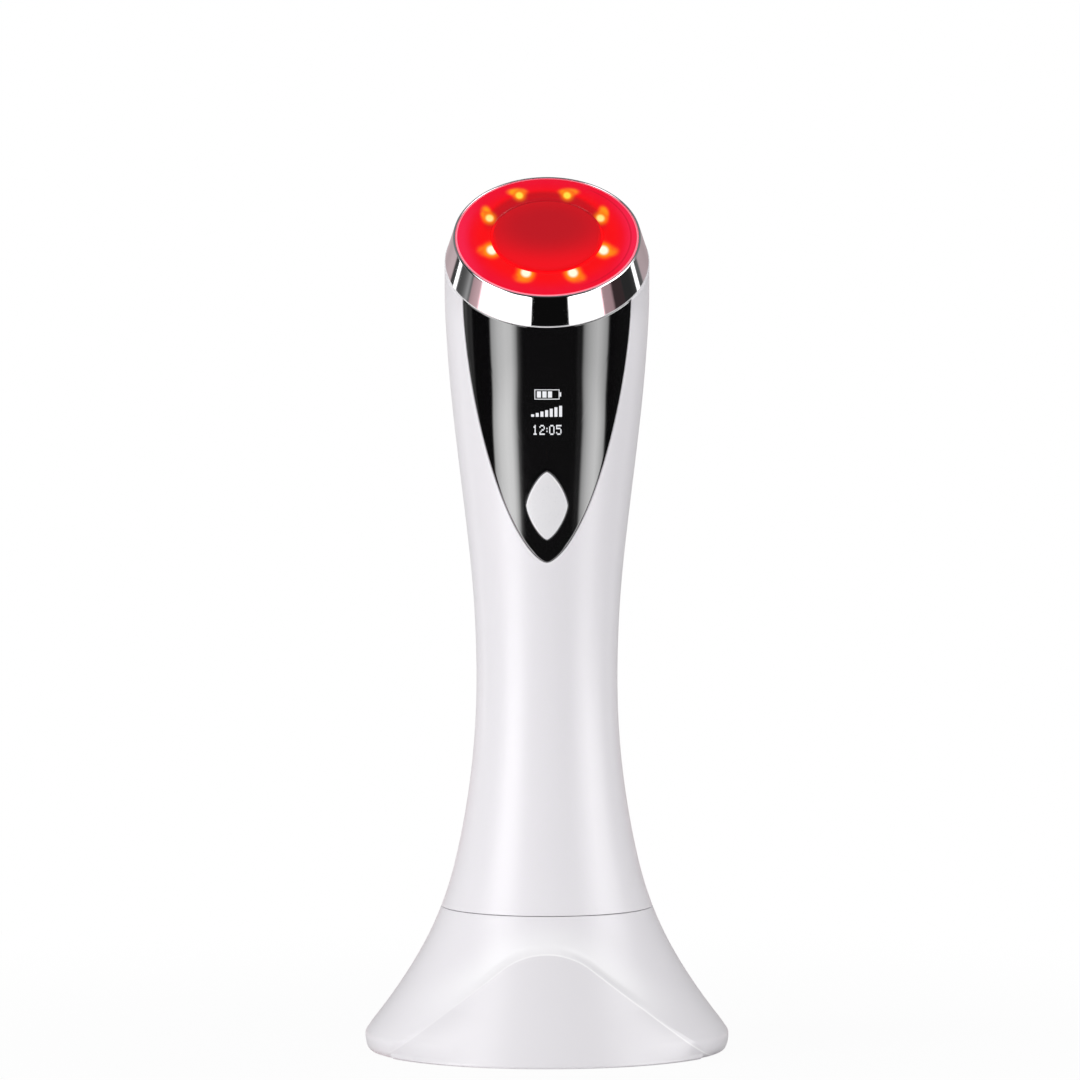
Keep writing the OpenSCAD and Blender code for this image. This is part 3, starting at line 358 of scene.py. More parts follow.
class Value:
    """Output of a node. Arithmetic on it makes further nodes."""

    def __init__(self, n, socket):
        self.n, self.socket = n, socket

    def math(self, op, other=0.0):
        return self.n.value("Math", {0: self, 1: other}, operation=op)

    __add__ = partialmethod(math, "ADD")
    __sub__ = partialmethod(math, "SUBTRACT")
    __mul__ = partialmethod(math, "MULTIPLY")
    __truediv__ = partialmethod(math, "DIVIDE")
    __abs__ = partialmethod(math, "ABSOLUTE")

    def __rsub__(self, other):
        return self.n.value("Math", {0: other, 1: self}, operation="SUBTRACT")

    def toward(self, other, share):
        """This value, moved towards another by a share of the way."""
        return (other - self) * share + self

    def ramp(self, lo, hi, out_lo=0.0, out_hi=1.0):
        """Smooth step from lo to hi."""
        stops = {"Value": self, "From Min": lo, "From Max": hi, "To Min": out_lo, "To Max": out_hi}
        return self.n.value("MapRange", stops, interpolation_type="SMOOTHSTEP")


class Nodes:
    """Short way to build the node tree of a material or a world."""

    def __init__(self, owner):
        owner.use_nodes = True
        self.tree = owner.node_tree
        self.tree.nodes.clear()

    def put(self, socket, value):
        """Links a value to an input, or sets the input."""
        if isinstance(value, Value):
            self.tree.links.new(value.socket, socket)
        elif socket.type == "RGBA":
            socket.default_value = (*value, 1)
        else:
            socket.default_value = value

    def new(self, kind, inputs, **settings):
        node = self.tree.nodes.new("ShaderNode" + kind)
        for key, value in settings.items():
            setattr(node, key, value)
        for key, value in inputs.items():
            self.put(node.inputs[key], value)
        return node

    def value(self, kind, inputs={}, output=0, **settings):
        return Value(self, self.new(kind, inputs, **settings).outputs[output])

    def place(self):
        """Place in the piece's own space, in metres."""
        return self.value("TexCoord", output="Object")

    def split(self, vector):
        node = self.new("SeparateXYZ", {0: vector})
        return [Value(self, socket) for socket in node.outputs]

    def mix(self, share, a, b):
        return self.value("Mix", {"Factor": share, 6: a, 7: b}, 2, data_type="RGBA")

    def layers(self, colour, *layers):
        """Colour with others laid over it, each by its share."""
        for share, over in layers:
            colour = self.mix(share, colour, over)
        return colour

    def noise(self, scale, detail, where):
        return self.value("TexNoise", {"Vector": where, "Scale": scale, "Detail": detail})

    def mix_shader(self, share, a, b):
        return self.value("MixShader", {0: share, 1: a, 2: b})


def squares(first, *others):
    """Sum of the squares."""
    total = first * first
    for value in others:
        total = total + value * value
    return total


def bell(*ways):
    """1 in the middle, and less by the ways from it."""
    return (squares(*ways) * -1.0).math("EXPONENT")


def greatest(first, *others):
    for value in others:
        first = first.math("MAXIMUM", value)
    return first


def srgb(*levels):
    """Linear colour of an 8-bit one."""
    return tuple(c / 255 / 12.92 if c <= 10.31475 else ((c / 255 + 0.055) / 1.055) ** 2.4 for c in levels)


def material(name, colour, spread, scale, rough, rough_spread, bump, bump_scale, inputs={}, edit=None,
             stretch=None):
    """Principled material whose colour, roughness and relief vary by noise in the piece's own space."""
    mat = bpy.data.materials.new(name)
    n = Nodes(mat)
    where = n.place()
    if stretch:
        where = n.value("Mapping", {"Vector": where, "Scale": stretch})
    fine = n.noise(bump_scale, 2.0, where)
    tint = n.mix(n.noise(scale, 3.0, where), [c * (1 - spread) for c in colour],
                 [min(1, c * (1 + spread)) for c in colour])
    bsdf = n.new("BsdfPrincipled", inputs)
    smoothest = max(rough - rough_spread, 0.01)
    n.put(bsdf.inputs["Roughness"], fine.ramp(0.3, 0.7, smoothest, rough + rough_spread))
    if bump:
        n.put(bsdf.inputs["Normal"], n.value("Bump", {"Strength": bump, "Distance": 0.0002, "Height": fine}))
    n.put(bsdf.inputs["Base Color"], edit(n, bsdf, tint, where) if edit else tint)
    n.new("OutputMaterial", {"Surface": Value(n, bsdf.outputs[0])})
    return mat


def glow(n, bsdf, colour, strength):
    n.put(bsdf.inputs["Emission Color"], colour)
    n.put(bsdf.inputs["Emission Strength"], strength)


def head_polar(n):
    """x, y and radius in the head's own frame, in mm."""
    frame_of_head = {"Vector": n.place(), "Location": (0, RING_Y * MM, RING_Z * MM), "Rotation": (TILT, 0, 0)}
    x, y, _ = n.split(n.value("Mapping", frame_of_head, vector_type="TEXTURE"))
    x, y = x * 1000.0, y * 1000.0
    return x, y, squares(x, y).math("SQRT")


def pearl_edit(n, bsdf, tint, where):
    """Mica flecks of a pearl finish: very fine, slightly lilac and warm grains under the clear coat."""
    flakes = n.noise(5200.0, 1.0, where)
    return n.layers(tint, (flakes.ramp(0.55, 0.75, 0.0, 0.35), srgb(236, 228, 244)),
                    (flakes.ramp(0.25, 0.42, 0.25, 0.0), srgb(226, 228, 226)))


def dock_edit(n, bsdf, tint, where):
    """Pearl with painted shade on the arch's face, painted light above it, and a painted highlight: a thin
    light line along its edge.
    """
    x, y, height = n.split(where)
    side = abs(x) * 1000.0
    z = height * 1000.0 + (ARCH_R - ARCH_H)
    crest = squares(side, z).math("SQRT") - ARCH_R
    slope = side * math.sin(ARCH_FALL) + (z * math.cos(ARCH_FALL) - ARCH_R)
    d = crest.toward(slope, side.math("GREATER_THAN", ARCH_R * math.sin(ARCH_FALL)))
    is_front = y.math("LESS_THAN", 0.0)
    # Painted shade: the arch's face is a little darker
    inside = d.ramp(0.4, -0.4) * is_front
    # Painted light: lighter above the arch, less so towards the foot
    above = d.ramp(8.0, 0.4, 0.0, 0.75) * (is_front - inside) * height.ramp(0.007, 0.018, 0.2, 1.0)
    # Painted highlight: a thin light line along the arch's edge, fainter on its left half
    line = bell((d + 0.02) / 0.15) * is_front * x.ramp(-0.02, 0.006, 0.25, 1.0)
    return n.layers(pearl_edit(n, bsdf, tint, where), (inside, srgb(228, 226, 229)),
                    (above, (0.93, 0.925, 0.935)), (line, (0.985, 0.98, 0.985)))


def chrome_edit(n, bsdf, tint, where):
    """Chrome with a fine satin edge at the ring's foot."""
    edge = head_polar(n)[2].ramp(RING_FOOT - 0.08, RING_FOOT - 0.03)
    n.put(bsdf.inputs["Metallic"], edge * -0.85 + 1.0)
    return n.mix(edge, tint, (0.8, 0.79, 0.8))


# Lit spots of the lens: middle in mm, size and strength, then the smear's middle, half width and half height
LED_SPOTS = [((4.88, -11.7), 1.25, 1.0, (5.5, -13.2), 2.1, 1.35),
             ((11.65, -4.4), 1.25, 1.0, (12.9, -4.6), 1.9, 1.4),
             ((11.6, 6.0), 1.05, 0.95, (12.3, 7.6), 1.2, 1.75),
             ((5.0, 13.4), 1.0, 0.95, (5.4, 14.5), 2.2, 1.0)]
LED_SKEW, LED_SHIFT, FORESHORTENED = 0.051, 0.1, 1.4


def spots(x, y, grow_by=1.0, smear=False):
    """All the spots enlarged by a factor, or their smears, as tall as written when seen from the front."""
    each = []
    for (cx, cy), size, strength, smear_middle, wide, tall in LED_SPOTS:
        if smear:
            cx, cy = smear_middle
        else:
            wide = tall = size * grow_by
        each.append(bell((x - cx) / wide, (y - cy) / (tall * FORESHORTENED)) * strength)
    return greatest(*each)


def lens_edit(n, bsdf, tint, where):
    """Red lens lit from below by eight LEDs: a pale core, an orange smear outside it, and a red field."""
    x, y, r = head_polar(n)
    side = abs(y * LED_SKEW + x + LED_SHIFT)
    core = spots(side, y).ramp(0.3, 0.75)
    halo = spots(side, y, grow_by=1.5).ramp(0.12, 0.75)
    streak = n.noise(420.0, 2.0, where).ramp(0.35, 0.6, 0.55, 1.0)
    lobe = spots(side, y, smear=True).ramp(0.15, 0.75) * streak
    # Painted sheen: a pinkish reflection towards the lens's left and right sides
    painted_sheen = side.ramp(12.0, 18.5) * r.ramp(15.4, 17.8)
    # rim is the red field's crimson outer ring; edge is a painted highlight, pale pink, on the lens's rounded
    # rim
    rim, edge = r.ramp(13.4, 18.4), r.ramp(18.72, 18.9)
    # Painted shade: a thin darker line on the lens's right side only
    fine_line = r.ramp(17.3, 17.5) * r.ramp(17.85, 17.6) * x.ramp(6.0, 12.0)
    # Painted shade: the plate's dark tone goes on above it, and is darkest between the upper lights
    upper = y.ramp(1.0, 6.0)
    over = bell((x + 0.4) / 11.3, (y - 1.35) / 11.3).ramp(0.35, 0.39) * upper
    painted_shade_above = bell((x + 0.4) / 12.7, (y - 1.9) / 12.7).ramp(0.32, 0.42) * upper
    painted_shade_above = painted_shade_above * (1.0 - greatest(core, lobe * 0.8))

    low = y.ramp(11.0, -3.0)
    field = n.layers(
        n.mix(rim, srgb(244, 0, 3), srgb(236, 4, 44)), (painted_sheen, srgb(250, 44, 92)),
        (fine_line * 0.6, srgb(130, 4, 20)), (edge, srgb(255, 128, 148)),
        (painted_shade_above, n.mix(over, srgb(186, 4, 10), srgb(150, 20, 32))),
        (lobe, n.mix(low, srgb(255, 172, 12), srgb(255, 128, 8))),
        (halo, n.mix(low, srgb(255, 138, 8), srgb(255, 158, 14))),
        (core, n.mix(low, srgb(255, 226, 70), srgb(255, 255, 226))))
    lit = greatest(core, halo * 0.8, lobe * 0.7)
    glow(n, bsdf, field, lit * 0.55 + (painted_shade_above * -0.2 + 0.46))
    # The base colour carries the painted highlight at the edge and the painted shade above the plate as well
    return n.layers(tint, (rim, srgb(188, 4, 34)), (edge, srgb(236, 130, 148)), (painted_shade_above, srgb(186, 8, 24)),
                    (lit, srgb(120, 20, 4)))


def plate_edit(n, bsdf, tint, where):
    """Anodised red plate with painted light: it glows, darkest at its upper middle and brighter red towards
    its lower edge.
    """
    x, y, r = head_polar(n)
    up = y - 3.5
    # Painted light: brighter red towards the plate's lower edge
    edge = r.ramp(10.0, 11.0) * y.ramp(6.0, -2.0)
    painted_glow = greatest((x * x * 0.55 + up * up).math("SQRT").ramp(3.0, 13.0), edge)
    glow(n, bsdf, n.mix(painted_glow, srgb(128, 10, 20), srgb(222, 0, 18)), painted_glow * 0.3 + 0.2)
    return n.layers(srgb(186, 8, 24), (painted_glow, srgb(194, 2, 16)), (edge, srgb(190, 0, 8)))


def seal_edit(n, bsdf, tint, where):
    """Thin translucent seal with painted shade above the plate and a painted red glow below it."""
    # Painted shade above the plate, painted red glow below it
    low = head_polar(n)[1].ramp(8.0, 1.0)
    glow(n, bsdf, n.mix(low, srgb(150, 20, 32), srgb(240, 0, 6)), low * 0.6 + 0.2)
    return n.mix(low, srgb(180, 8, 22), srgb(190, 2, 12))


def digits_edit(n, bsdf, tint, where):
    """Lit cells of the display."""
    glow(n, bsdf, n.mix(n.noise(9000.0, 1.0, where), srgb(228, 232, 238), srgb(255, 255, 255)), 0.55)
    return tint


METAL, MATT = {"Metallic": 1.0}, {"Specular IOR Level": 0.1}


def coated(weight, rough=0.03, specular=0.5):
    return {"Coat Weight": weight, "Coat Roughness": rough, "Specular IOR Level": specular}


# Colour with its spread and scale, roughness with its spread, relief with its scale, then what differs
PEARL = (srgb(233, 231, 234), 0.012, 30, 0.4, 0.03, 0.012, 700, coated(1.0, 0.3, 0.15))
FINISHES = {
    "pearl_white": (*PEARL, pearl_edit),
    "dock_pearl": (*PEARL, dock_edit),
    "panel_black": ((0.0022, 0.002, 0.0024), 0.1, 120, 0.05, 0.01, 0.003, 500, {"IOR": 2.4}),
    "button_silver": (srgb(232, 231, 233), 0.01, 300, 0.3, 0.03, 0.006, 2600, coated(0.6, 0.2)),
    "chrome": ((0.86, 0.855, 0.87), 0.02, 200, 0.045, 0.012, 0.004, 700, {}, chrome_edit),
    "lens_red": (srgb(200, 2, 12), 0.05, 150, 0.12, 0.03, 0.004, 500, {"Specular IOR Level": 0.25},
                 lens_edit),
    "plate_red": (srgb(166, 20, 34), 0.04, 300, 0.5, 0.05, 0.05, 2400, MATT, plate_edit),
    "dark_seal": (srgb(150, 8, 22), 0.08, 300, 0.55, 0.08, 0.05, 2500, MATT, seal_edit),
    "dark_plastic": (srgb(58, 58, 62), 0.08, 200, 0.5, 0.08, 0.12, 2600),
    "black_plastic": (srgb(26, 26, 28), 0.1, 200, 0.5, 0.08, 0.12, 2600),
    "white_plastic": (srgb(228, 228, 230), 0.02, 200, 0.48, 0.06, 0.1, 2400),
    "display_glass": (srgb(170, 170, 174), 0.02, 900, 0.3, 0.05, 0.0, 900, {}, digits_edit),
    "display_dark": (srgb(20, 22, 28), 0.08, 300, 0.12, 0.03, 0.01, 1200, coated(0.7)),
    "ribbon_amber": (srgb(176, 98, 22), 0.1, 500, 0.4, 0.06, 0.05, 2500, {}, None, (14, 1, 1)),
    "board_green": (srgb(18, 84, 44), 0.18, 900, 0.38, 0.08, 0.08, 2500, coated(0.4)),
    "chip_black": (srgb(30, 30, 33), 0.12, 700, 0.55, 0.08, 0.15, 3800),
    "led_orange": (srgb(255, 150, 40), 0.06, 800, 0.3, 0.05, 0.03, 2500, coated(0.6)),
    "screw_steel": (srgb(168, 168, 172), 0.06, 900, 0.28, 0.08, 0.08, 3000, METAL, None, (1, 1, 8)),
    "spring_steel": (srgb(190, 190, 194), 0.05, 900, 0.22, 0.05, 0.05, 3000, METAL),
    "nickel": (srgb(200, 196, 186), 0.05, 500, 0.24, 0.06, 0.06, 2600, METAL, None, (1, 10, 1)),
    "contact_gold": (srgb(232, 186, 96), 0.05, 700, 0.2, 0.06, 0.05, 2600, METAL),
    "cell_blue": (srgb(36, 88, 160), 0.06, 60, 0.3, 0.05, 0.04, 1500, coated(0.5)),
    "lead_red": (srgb(176, 26, 24), 0.08, 600, 0.45, 0.06, 0.05, 2500),
    "lead_yellow": (srgb(214, 176, 40), 0.08, 600, 0.45, 0.06, 0.05, 2500),
    "ceramic": (srgb(228, 226, 218), 0.04, 700, 0.6, 0.08, 0.12, 3000),
    "thermal_grey": (srgb(142, 146, 152), 0.08, 800, 0.7, 0.08, 0.15, 3000),
    "sink_aluminium": (srgb(176, 178, 182), 0.05, 600, 0.34, 0.08, 0.1, 2600, METAL, None, (1, 8, 1)),
    "ballast_iron": (srgb(92, 92, 94), 0.16, 300, 0.55, 0.1, 0.3, 1500, {"Metallic": 0.8}),
    "foot_rubber": (srgb(122, 122, 126), 0.08, 400, 0.75, 0.08, 0.2, 2500, {"Sheen Weight": 0.2}),
}
MATS = {name: material(name, *values) for name, values in FINISHES.items()}

# CAD nodes that are shown as they are, by their finish
SHOWN_NODES = {
    "pearl_white": "bottom_cap", "contact_gold": "contact_pads pin_barrels charge_pin_left charge_pin_right",
    "screw_steel": "cap_screws board_screws head_screws dock_board_screws base_screws",
    "dark_plastic": "chassis head_carrier dock_cup", "black_plastic": "display_frame tact_switch",
    "white_plastic": "switch_plunger base_plate", "display_dark": "display_module",
    "ribbon_amber": "display_ribbon", "board_green": "main_board led_board dock_board",
    "chip_black": "board_components temperature_sensor dock_components", "led_orange": "leds",
    "nickel": "battery_tabs power_inlet", "cell_blue": "battery", "lead_red": "battery_leads peltier_leads",
    "lead_yellow": "charge_leads head_harness", "ceramic": "peltier_module", "thermal_grey": "thermal_pad",
    "sink_aluminium": "heat_sink", "ballast_iron": "ballast", "foot_rubber": "rubber_feet",
}
for finish, node_names in SHOWN_NODES.items():
    for node_name in node_names.split():
        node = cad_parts[node_name]
        if not node.material_slots:
            node.data.materials.append(MATS[finish])
        for s in node.material_slots:
            s.material = MATS[finish]


# ---- handset shells

PANEL_QUARTER = superellipse(PANEL_W, PANEL_L, PANEL_POWER) + [0, PANEL_TIP + PANEL_L]


def panel_side(e, n):
    """Panel's outline in a front view, from the tip up its right side to the ring, grown by e."""
    line = grow(PANEL_QUARTER, -e)
    line[:, 0] = line[:, 0].clip(0)
    line[0, 0] = 0
    top = top_z(line[-1, 0])
    line = line[line[:, 1] < top - 0.01]
    return resample(np.vstack([line, [[PANEL_W + e, top]]]), n)


def casing(name, sheet, faces, node):
    """One half of the handset's casing, from the angle, way and depth of its outer face."""
    theta, t, depth = np.array(sheet.v).T
    mesh = Mesh()
    thicken(mesh, skin(theta, t, depth), skin(theta, t, WALL), faces)
    finish_mesh(name, mesh, "handset", "pearl_white", node, mirror=True)


def front_shell():
    side_n, fan_n, low_n, middle_t = 120, 30, 56, 88.0
    lips = [front(*panel_side(PANEL_GAP + e * LIP_R, side_n)[::-1].T) for e, _ in ROUND]
    lip_depths = [d * LIP_R for _, d in ROUND[:-1]]
    sheet, rows = Mesh(), []

    def fan(th0, t0, t1):
        """Points of a row from its start to the parting line."""
        th1 = split_angle(t1) - SPLIT_GAP / flank(t1)
        way = flank(t0) * (th1 - th0)
        rim = SPLIT_R / way
        u = np.array([k / fan_n * (1 - rim) for k in range(fan_n + 1)] + [1 - e * rim for e in INSETS])
        return between(th0, th1, u), between(t0, t1, u), edge_depth((1 - u) * way, SPLIT_R)

    for i in range(side_n + 1):
        lip = [(th[i], t[i]) for th, t in lips]
        a, b, c = fan(*lip[-1], between(T_TOP, middle_t, i / side_n))
        lip_th, lip_t = zip(*lip[:-1])
        rows.append(sheet.add(stack([*lip_th, *a], [*lip_t, *b], [*lip_depths, *c])))
    faces = quads(rows)

    # Below the panel's tip, down to the seam
    rows = [rows[-1][len(lip_depths):]]
    tip_t, stop = lip[-1][1], SEAM_Z + SEAM_R
    ends = [(between(tip_t, stop, s), between(middle_t, stop, s)) for s in shares(low_n)]
    ends += [(SEAM_Z + e * SEAM_R,) * 2 for e in INSETS]
    for t0, t1 in ends:
        a, b, c = fan(0.0, t0, t1)
        rows.append(sheet.add(stack(a, b, np.maximum(c, edge_depth(b - SEAM_Z, SEAM_R)))))
    casing("front_casing", sheet, faces + quads(rows), "front_shell")


def rear_shell():
    round_n, up_n = 44, 110
    sheet, rows = Mesh(), []
    for t in (*(SEAM_Z + e * SEAM_R for e, _ in ROUND), *np.linspace(SEAM_Z, T_TOP, up_n)[1:]):
        r = flank(t)
        start = split_angle(t) + SPLIT_GAP / r
        rim = [start + e * SPLIT_R / r for e, _ in ROUND]
        theta = np.array([*rim, *np.linspace(rim[-1], math.pi, round_n + 1)[1:]])
        depth = np.maximum(edge_depth((theta - start) * r, SPLIT_R), edge_depth(t - SEAM_Z, SEAM_R))
        rows.append(sheet.add(stack(theta, t, depth)))
    casing("rear_casing", sheet, quads(rows), "rear_shell")


# ---- panel, button and display

def front_points(mesh, xz, depth):
    """Adds the front face's points behind xz of a front view, moved in by depth."""
    return mesh.add(skin(*front(xz[:, 0], xz[:, 1]), depth))


def almond(e, angles):
    """Button's outline grown by e, at given angles from straight down, right half."""
    q = superellipse(BUTTON_W, BUTTON_H, BUTTON_POWER)
    half = grow(np.vstack([q, (q * [1, -1])[::-1][1:]]), -e)
    half[:, 0] = half[:, 0].clip(0)
    a = np.arctan2(half[:, 0], -half[:, 1])
    a[0], a[-1] = 0, math.pi
    a = np.maximum.accumulate(a)
    return stack(np.interp(angles, a, half[:, 0]), np.interp(angles, a, half[:, 1]) + BUTTON_Z)


def display_panel():
    side_n, top_n, ring_n, back_n, grading, edge_r, hole_r = 120, 26, 22, 8, 1.25, 0.2, 0.15

    def outer_loop(e):
        """The panel's outline with its top edge, moved in by e."""
        side = panel_side(-e, side_n)
        x = np.linspace(side[-1, 0], 0, top_n + 1)[1:]
        line = np.vstack([side, stack(x, top_z(x))])
        line[side_n:, 1] -= e
        return line

    base = outer_loop(0)
    angles = np.arctan2(base[:, 0], BUTTON_Z - base[:, 1])
    angles[0], angles[-1] = 0, math.pi
    hole = [(almond(BUTTON_GAP + e * hole_r, angles), d * hole_r) for e, d in ROUND]
    edge = [(outer_loop(e * edge_r), d * edge_r) for e, d in ROUND]
    a, b = hole[-1][0], edge[-1][0]
    back_a, back_b = hole[0][0], edge[0][0]
    rings = [(back_a, PANEL_T), *hole]
    rings += [(between(a, b, s ** grading), 0.0) for s in shares(ring_n)[:-1]]
    rings += [*reversed(edge), (back_b, PANEL_T)]
    rings += [(between(back_b, back_a, s), PANEL_T) for s in shares(back_n)[:-1]]
    mesh = Mesh()
    loops = [front_points(mesh, *ring) for ring in rings]
    mesh.join([loops[-1], *loops])
    straighten(finish_mesh("gloss_panel", mesh, "handset", "panel_black", "display_panel", mirror=True,
                           sharp=50))


def straighten(panel):
    """Keeps the shading normals' slope from STILL_Z up, so that a reflection runs straight to the ring."""
    co = np.array([v.co for v in panel.data.vertices]) / MM
    theta, t = front(co[:, 0], co[:, 2])
    on_face = (np.linalg.norm(skin(theta, t) - co, axis=1) < 0.01) & (co[:, 2] > STILL_Z)
    c, s = math.cos(STILL_SLOPE), math.sin(STILL_SLOPE)
    normals = ring_point(c, theta, -s)
    normals[~on_face] = 0
    panel.data.normals_split_custom_set_from_vertices(normals.tolist())


def button():
    count, bevel, proud, crown, flange = 72, 0.32, 0.25, 0.06, 0.9
    flange_in, flange_out = WALL + 0.1, WALL + 0.9
    angles = np.linspace(0, math.pi, count + 1)
    centre = np.array([0, BUTTON_Z])
    face, foot, wide = almond(-bevel, angles), almond(0, angles), almond(flange, angles)
    rings = [(between(centre, face, f), -proud - crown * (1 - f * f))
             for f in (0.0, 0.12, 0.3, 0.5, 0.7, 0.86, 0.95)]
    rings += [(almond(-e * bevel, angles), -proud + d * bevel) for e, d in ROUND[::-1]]
    rings += [(foot, flange_in), (wide, flange_in)]
    rings += [(between(centre, wide, f), flange_out) for f in (1.0, 0.5, 0.0)]
    mesh = Mesh()
    mesh.join([front_points(mesh, *ring) for ring in rings])
    finish_mesh("push_button", mesh, "button", "button_silver", "button_cap", mirror=True, sharp=50)


DIGITS = {
    "0": "01110 10001 10001 10001 10001 10001 01110", "1": "00100 01100 00100 00100 00100 00100 01110",
    "2": "01110 10001 00001 00110 01000 10000 11111", "5": "11111 10000 11110 00001 00001 10001 01110",
    ":": "0 0 1 0 1 0 0",
}
TIME, TIME_Z, CELL_W, CELL_H, DIGIT_GAP = "12:05", 130.9, 0.22, 0.22 * 1.35, 1.6
# Frame and knob of the charge gauge, each by two corners
GAUGE = [(-2.6, 138.35, 2.6, 138.5), (-2.6, 140.3, 2.6, 140.45), (-2.6, 138.5, -2.45, 140.3),
         (2.45, 138.5, 2.6, 140.3), (2.65, 138.95, 2.95, 139.85)]
MARK_PROUD, MARK_DEEP = -0.015, 0.05


def display_marks():
    """Plain lit marks: a charge gauge, a row of level bars and a running time."""
    mesh = Mesh()

    def bar(x0, z0, x1, z1):
        """A lit field just above the panel, by two corners."""
        x = np.linspace(x0, x1, max(1, round(x1 - x0)) + 1)
        low, high, low_in, high_in = (front_points(mesh, stack(x, z), depth)
                                      for depth in (MARK_PROUD, MARK_DEEP) for z in (z0, z1))
        loops = [low, high, high_in, low_in]
        mesh.join([*loops, low])
        mesh.f += [tuple(loop[end] for loop in loops) for end in (0, -1)]

    glyphs = [DIGITS[c].split() for c in TIME]
    x0 = -(sum(len(rows[0]) + DIGIT_GAP for rows in glyphs) - DIGIT_GAP) * CELL_W / 2
    for rows in glyphs:
        for k, row in enumerate(rows):
            z = TIME_Z + (len(rows) - 1 - k) * CELL_H
            for run in re.finditer("1+", row):
                bar(x0 + run.start() * CELL_W, z, x0 + run.end() * CELL_W, z + CELL_H)
        x0 += (len(rows[0]) + DIGIT_GAP) * CELL_W
    for k in range(7):
        x = -3.3 + k * 0.97
        bar(x, 134.7, x + 0.62, 134.9 + 0.3 * (k + 1))
    for corners in GAUGE:
        bar(*corners)
    for k in range(3):
        bar(-2.1 + k * 1.15, 138.75, -1.25 + k * 1.15, 140.05)
    finish_mesh("display_marks", mesh, "handset", "display_glass", sharp=30)


# ---- head

def head_pieces():
    # The ring's foot and lip are rounded, and the straight cone between them touches both arcs
    foot_r, lip_r, lip_x, lean, ledge_z = 0.2, 0.3, 19.36, 14.17, LENS_Z - 0.05
    ring = [(RING_IN, 0.0)] + arc(RING_FOOT - foot_r, foot_r, foot_r, -90, lean, 7)
    lip = arc(lip_x, LIP_TOP - lip_r, lip_r, lean, 90, 7)
    ends = np.array([ring[-1], lip[0]])
    ring += [tuple(between(*ends, u)) for u in (0.01, 0.5, 0.99)] + lip
    ring += arc(LIP_IN + 0.1, LIP_TOP - 0.1, 0.1, 90, 180, 4) + [(LIP_IN, ledge_z), (RING_IN, ledge_z)]
    revolve("bright_ring", ring, 192, "chrome", "chrome_ring")
    lens = [(LENS_IN, LENS_Z), (LENS_OUT, LENS_Z)]
    lens += arc(LENS_OUT - LENS_ROUND, LENS_TOP - LENS_ROUND, LENS_ROUND, 0, 90, 8)
    lens += [(r, LENS_TOP) for r in (17.6, 16.6, 15.6, 14.4, 13.4, 12.6)]
    lens += arc(LENS_IN + 0.2, LENS_TOP - 0.2, 0.2, 90, 180, 4)
    revolve("lit_lens", lens, 192, "lens_red", "lens")
    middle, flange_z = 0.01, PLATE_LOW + FLANGE_T
    plate = [(middle, PLATE_LOW), (FLANGE_R, PLATE_LOW), (FLANGE_R, flange_z), (PLATE_R, flange_z)]
    plate += arc(PLATE_R - PLATE_ROUND, PLATE_TOP - PLATE_ROUND, PLATE_ROUND, 0, 90, 6)
    plate += [(r, PLATE_TOP) for r in (9.5, 7.5, 5, 2.5, middle)]
    revolve("heat_plate", plate, 128, "plate_red", "treatment_plate")
    bevel_z = SEAL_TOP - SEAL_BEVEL
    seal = [(PLATE_R, SEAL_LOW), (LENS_IN, SEAL_LOW), (LENS_IN, bevel_z), (LENS_IN - SEAL_BEVEL, SEAL_TOP),
            (PLATE_R + SEAL_BEVEL, SEAL_TOP), (PLATE_R, bevel_z)]
    revolve("plate_seal", seal, 128, "dark_seal", "plate_gasket")


def pin_springs():
    """Coil springs under the charging pins."""
    length = SPRING_HIGH - SPRING_LOW
    steps = TURNS * 24
    b = np.arange(8) * math.pi / 4
    r = SPRING_R + WIRE_R * np.cos(b)
    for side, word in ((-1, "left"), (1, "right")):
        mesh = Mesh()
        loops = []
        for k in range(steps + 1):
            a = 2 * math.pi * TURNS * k / steps
            z = SPRING_LOW + WIRE_R + (length - 2 * WIRE_R) * k / steps + WIRE_R * np.sin(b)
            loops.append(mesh.add(stack(side * SPRING_X + r * math.cos(a), r * math.sin(a), z)))
        mesh.join(loops, closed=True)
        mesh.f += [tuple(loops[0]), tuple(loops[-1])]
        spring = finish_mesh("coil_" + word, mesh, "dock", "spring_steel", "pin_spring_" + word, sharp=60)
        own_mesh(spring)


# ---- dock

V_LOW = FLARE_Z - EDGE_R * (EDGE_ANGLE + math.pi / 2)


def v_of_z(z):
    """Way down the dock's profile, which below FLARE_Z follows the rounded edge."""
    z = np.asarray(z, float)
    a = np.arcsin(np.clip((z - EDGE_Z) / np.where(z > EDGE_Z, EDGE_R, EDGE_Z - FOOT_Z), -1, 1))
    return np.where(z >= FLARE_Z, z, FLARE_Z - EDGE_R * (EDGE_ANGLE - a))


def dock_profile(v):
    """Radius and height at v."""
    v = np.asarray(v, float)
    a = EDGE_ANGLE - (FLARE_Z - v) / EDGE_R
    low = v < FLARE_Z
    r = np.where(a > 0, EDGE_X + EDGE_R * np.cos(a), BASE_R - FOOT_ROUND * (1 - np.cos(a)))
    z = EDGE_Z + np.where(a > 0, EDGE_R, EDGE_Z - FOOT_Z) * np.sin(a)
    return np.where(low, r, flank(v)), np.where(low, z, v)


def cone(z):
    """Radius of the arch's face."""
    return CONE_FOOT - CONE_SLOPE * z


def rounded_rect(angles, w, h, r):
    """Points of a rounded rectangle's outline at given angles round its centre."""
    c, s = np.cos(angles), np.sin(angles)
    lo, hi = np.zeros_like(c), np.full_like(c, w + h)
    for _ in range(40):
        m = (lo + hi) / 2
        qx, qz = np.abs(c * m) - w / 2 + r, np.abs(s * m) - h / 2 + r
        d = np.hypot(qx.clip(0), qz.clip(0)) + np.minimum(np.maximum(qx, qz), 0) - r
        inside = d < 0
        lo, hi = np.where(inside, m, lo), np.where(inside, hi, m)
    return c * lo, s * lo


